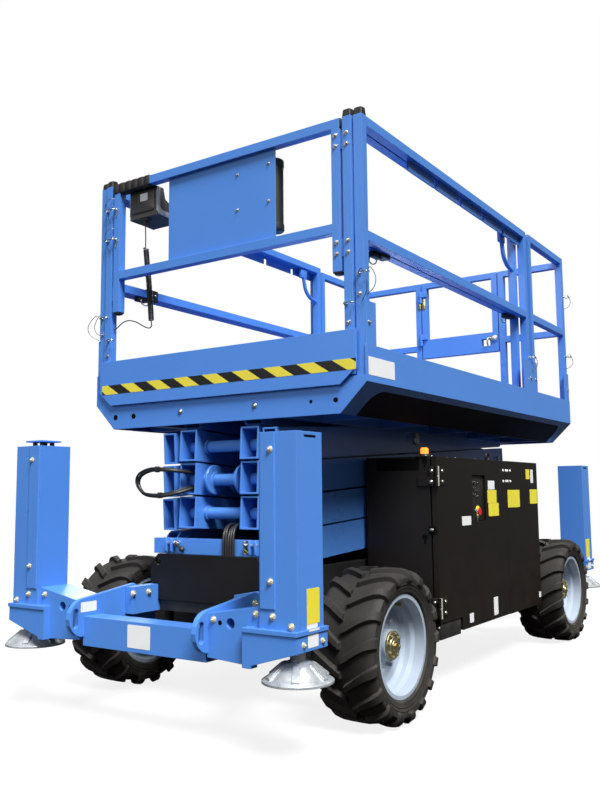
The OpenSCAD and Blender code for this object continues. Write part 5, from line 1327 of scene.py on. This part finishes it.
def makeKeepers(level, values):  # round plates over the centre pin, and the ends of the pins at the arm's tips
    keepers, ends = bmesh.new(), bmesh.new()
    back, above, across = values["lockBolt"]
    tips = [(1, pinHeight(level - 1)), (-1, pinHeight(level))]
    for side in bothSides:
        out = (0, side, 0)
        face = Vector((0, side * values["pinFace"], pinHeight(level - 0.5)))
        addLathe(keepers, values["keeper"], face, out, 28)
        for turn in values["keeperBolts"]:
            ring = values["keeperRing"]
            spot = face + Vector((ring * math.cos(turn), side * values["keeperTop"], ring * math.sin(turn)))
            addBolt(keepers, spot, out, values["keeperBolt"], washer=False)
        for sign, z in tips[:1] if level == values["levels"] else tips:  # the last arm's rear tip is at the deck
            y = values["footPinFace"] if level == 1 and sign > 0 else values["pinFace"]
            x = sign * values["pinX"]
            addLathe(ends, values["nipple"], (x, side * y, z), out, 24)
            addBolt(ends, (x - sign * back, side * values["armFace"], z + above), out, across)
    finishPiece(f"centre_keepers_{level}", keepers, "zincBolt", f"inner_{level}")
    finishPiece(f"pin_ends_{level}", ends, "zincBolt", f"outer_{level}")


for level in range(1, stack["levels"] + 1):
    makeKeepers(level, stack)

lug = {"ys": (-0.092, 0.082), "radius": 0.070, "half": 0.007, "pipe": 0.034, "row": 2, "edge": 0.002, "bore": 0.032,
       "weld": [(0.032, 0.006), (0.039, 0.007), (0.035, 0.011), (0.032, 0.012)]}
outer, half, pipe, bore, edge = (lug[key] for key in ("radius", "half", "pipe", "bore", "edge"))
lugProfile = [(pipe, -half), (outer - edge, -half), (outer, edge - half), (outer, half - edge), (outer - edge, half),
              (pipe, half), (bore, half - 0.003), (bore, 0.003 - half), (pipe, -half)]
bm = bmesh.new()
for y in lug["ys"]:
    centre = (stack["pinX"], y, pinHeight(lug["row"]))
    addLathe(bm, lugProfile, centre, leftward, 44)
    for sign in (-1, 1):
        addLathe(bm, lug["weld"], centre, (0, sign, 0), 32)
finishPiece("cylinder_lugs", bm, "bluePaint", "inner_2")

hose = {
    "radius": 0.0085, "thinShare": 0.6, "thinShift": (0.003, -0.013, 0.008),
    "loop": [(1.300, -0.165, 0.985), (1.360, -0.175, 0.975), (1.420, -0.215, 0.955), (1.440, -0.300, 0.945),
             (1.438, -0.390, 0.958), (1.434, -0.432, 1.003), (1.438, -0.410, 1.045), (1.444, -0.330, 1.068),
             (1.440, -0.235, 1.066), (1.380, -0.185, 1.058), (1.300, -0.180, 1.050)],
    "clips": [(1.440, -0.285, 0.946), (1.443, -0.300, 1.068)],
    "clip": ((-0.011, 0.012), (-0.006, 0.006), (-0.011, 0.017), 0.002),
    "bundleRadius": 0.0062, "bundle": (0.080, 0.094, 0.108, 0.122, 0.136),  # y of each hose beside the stack's foot
    "bundlePath": [(1.414, 0.0, 0.560), (1.414, 0.0, 0.640), (1.413, -0.001, 0.700), (1.409, -0.004, 0.748),
                   (1.395, -0.010, 0.785), (1.362, -0.018, 0.808), (1.318, -0.023, 0.806), (1.276, -0.024, 0.790),
                   (1.225, -0.024, 0.760)],
    "spread": 0.007, "spreadTurn": 2.1, "spreadAbove": 0.72,
}
thin = [Vector(p) + Vector(hose["thinShift"]) for p in hose["loop"]]
makePiece("arm_hoses", "hoseRubber", "inner_2", [
    (addSweep, smoothPath(hose["loop"], 7), hose["radius"], 12),
    (addSweep, smoothPath(thin, 7), hose["radius"] * hose["thinShare"], 12)])
clipX, clipY, clipZ, rounding = hose["clip"]
makePiece("hose_clips", "blackPlastic", "inner_2", [
    (addBlock, shifted(x, clipX), shifted(y, clipY), shifted(z, clipZ), rounding) for x, y, z in hose["clips"]])
bm = bmesh.new()
for i, y in enumerate(hose["bundle"]):
    lift = hose["spread"] * math.sin(i * hose["spreadTurn"])
    path = [(x, y + dy, z + (lift if z > hose["spreadAbove"] else 0)) for x, dy, z in hose["bundlePath"]]
    addSweep(bm, smoothPath(path, 6), hose["bundleRadius"], 10)
finishPiece("front_hoses", bm, "hoseRubber", "chassis")

bar = {
    "face": 1.400, "stripe": (0.186, 0.689, 0.211, 0.747),
    "lug": (1.398, 0.684, 1.424, 0.752), "lugCorner": 0.010, "lugYs": [(0.226, 0.235), (0.258, 0.267)],
    "pin": (1.412, 0.728), "pinYs": (0.200, 0.268), "pinRadius": 0.0065, "headY": 0.205, "headSize": 0.019,
    "stem": ((1.412, -0.203, 0.722), (1.414, -0.178, 0.706)), "stemRadius": 0.006,
    "knob": [(0, -0.013), (0.008, -0.011), (0.0125, -0.004), (0.0125, 0.004), (0.008, 0.011), (0, 0.013)],
    "knobPlace": (1.414, -0.170, 0.701), "knobWay": (0.05, 0.85, -0.53),
}
makePiece("bar_stripe", "narrowStripes", "chassis", [(addPlate, bar["stripe"], "x", bar["face"], 1, 0.0008, 0.001)])
lugOutline = roundRect(*bar["lug"], bar["lugCorner"])
makePiece("bar_lugs", "bluePaint", "chassis", [
    (addSlab, lugOutline, "y", *mirrored(side, ys), 0.001) for side in bothSides for ys in bar["lugYs"]])
bm = bmesh.new()
x, z = bar["pin"]
for side in bothSides:
    start, end = ((x, side * y, z) for y in bar["pinYs"])
    addBar(bm, start, end, bar["pinRadius"], 16, skin)
    addBolt(bm, (x, side * bar["headY"], z), (0, -side, 0), bar["headSize"])
finishPiece("bar_lug_pins", bm, "zincBolt", "chassis")
makePiece("bar_knob", "blackPlastic", "chassis", [
    (addBar, *bar["stem"], bar["stemRadius"], 14, skin), (addLathe, bar["knob"], bar["knobPlace"], bar["knobWay"], 20)])
print("stack detailed")

# Floor, world and lamps

stageValues = {
    "floorSize": 60.0,
    "floorColor": (0.90, 0.90, 0.90),
    "bounceColor": (0.03, 0.03, 0.03),
    "whiteShare": 0.84,  # how far the camera sees the floor as plain white
    "fadeFrom": 3.2,
    "fadeTo": 9.0,
    "ambient": 0.15,
    "lamps": [  # name, place, aim, width in degrees, strength
        ("keyLamp", (2.9, 4.5, 7.8), (0.2, 0.2, 1.0), 24.0, 6.1),
        ("frontLamp", (6.8, -0.6, 3.6), (0.8, 0.0, 1.0), 34.0, 0.9),
        ("topLamp", (0.0, 0.0, 8.0), (0.0, 0.0, 1.0), 46.0, 1.0),
        ("backLamp", (-6.0, -3.5, 4.5), (0.0, 0.0, 1.2), 30.0, 1.4),
    ],
}


def makeFloor(values):
    bm = bmesh.new()
    half = values["floorSize"] / 2
    bm.faces.new([bm.verts.new((x, y, 0)) for x, y in ((-half, -half), (half, -half), (half, half), (-half, half))])
    mesh = bpy.data.meshes.new("paleFloor")
    bm.to_mesh(mesh)
    bm.free()
    floor = bpy.data.objects.new("paleFloor", mesh)
    bpy.context.collection.objects.link(floor)
    material = bpy.data.materials.new("paleFloor")
    material.use_nodes = True
    tree = material.node_tree
    tree.nodes.clear()
    coords = addNode(tree, "ShaderNodeTexCoord")
    distance = addNode(tree, "ShaderNodeVectorMath", {"operation": "LENGTH"})
    tree.links.new(coords.outputs["Object"], distance.inputs[0])
    far = addRange(tree, distance.outputs["Value"], values["fadeFrom"], values["fadeTo"])
    diffuse = addNode(tree, "ShaderNodeBsdfDiffuse", values={"Color": (*values["floorColor"], 1.0)})
    white = addNode(tree, "ShaderNodeEmission", values={"Color": (1, 1, 1, 1), "Strength": 1.0})
    path = addNode(tree, "ShaderNodeLightPath")
    seen = path.outputs["Is Camera Ray"]
    share = addMath(tree, "MULTIPLY", addMath(tree, "MAXIMUM", far, values["whiteShare"]), seen)
    tree.links.new(addMix(tree, seen, values["bounceColor"], values["floorColor"]), diffuse.inputs["Color"])
    mixed = addNode(tree, "ShaderNodeMixShader")
    tree.links.new(share, mixed.inputs["Fac"])
    tree.links.new(diffuse.outputs[0], mixed.inputs[1])
    tree.links.new(white.outputs[0], mixed.inputs[2])
    out = addNode(tree, "ShaderNodeOutputMaterial", links={"Surface": mixed.outputs[0]})
    out.is_active_output = True
    mesh.materials.append(material)


def makeWorld(values):
    world = bpy.data.worlds.new("studio")
    bpy.context.scene.world = world
    world.use_nodes = True
    tree = world.node_tree
    tree.nodes.clear()
    path = addNode(tree, "ShaderNodeLightPath")
    seen = addMath(tree, "ADD", path.outputs["Is Camera Ray"], path.outputs["Is Transmission Ray"], clamp=True)
    strength = addRange(tree, seen, 0.0, 1.0, values["ambient"], 1.0)
    sky = addNode(tree, "ShaderNodeBackground", values={"Color": (1, 1, 1, 1)}, links={"Strength": strength})
    addNode(tree, "ShaderNodeOutputWorld", links={"Surface": sky.outputs[0]})


def makeLamps(values):
    for name, place, aim, width, strength in values["lamps"]:
        data = bpy.data.lights.new(name, "SUN")  # even light, also on the raised platform
        data.angle = math.radians(width)
        data.energy = strength
        lamp = bpy.data.objects.new(name, data)
        lamp.location = place
        lamp.rotation_euler = (Vector(aim) - Vector(place)).to_track_quat("-Z", "Y").to_euler()
        bpy.context.collection.objects.link(lamp)


makeFloor(stageValues)
makeWorld(stageValues)
makeLamps(stageValues)
bpy.context.scene.view_settings.view_transform = "Standard"
print("stage made")
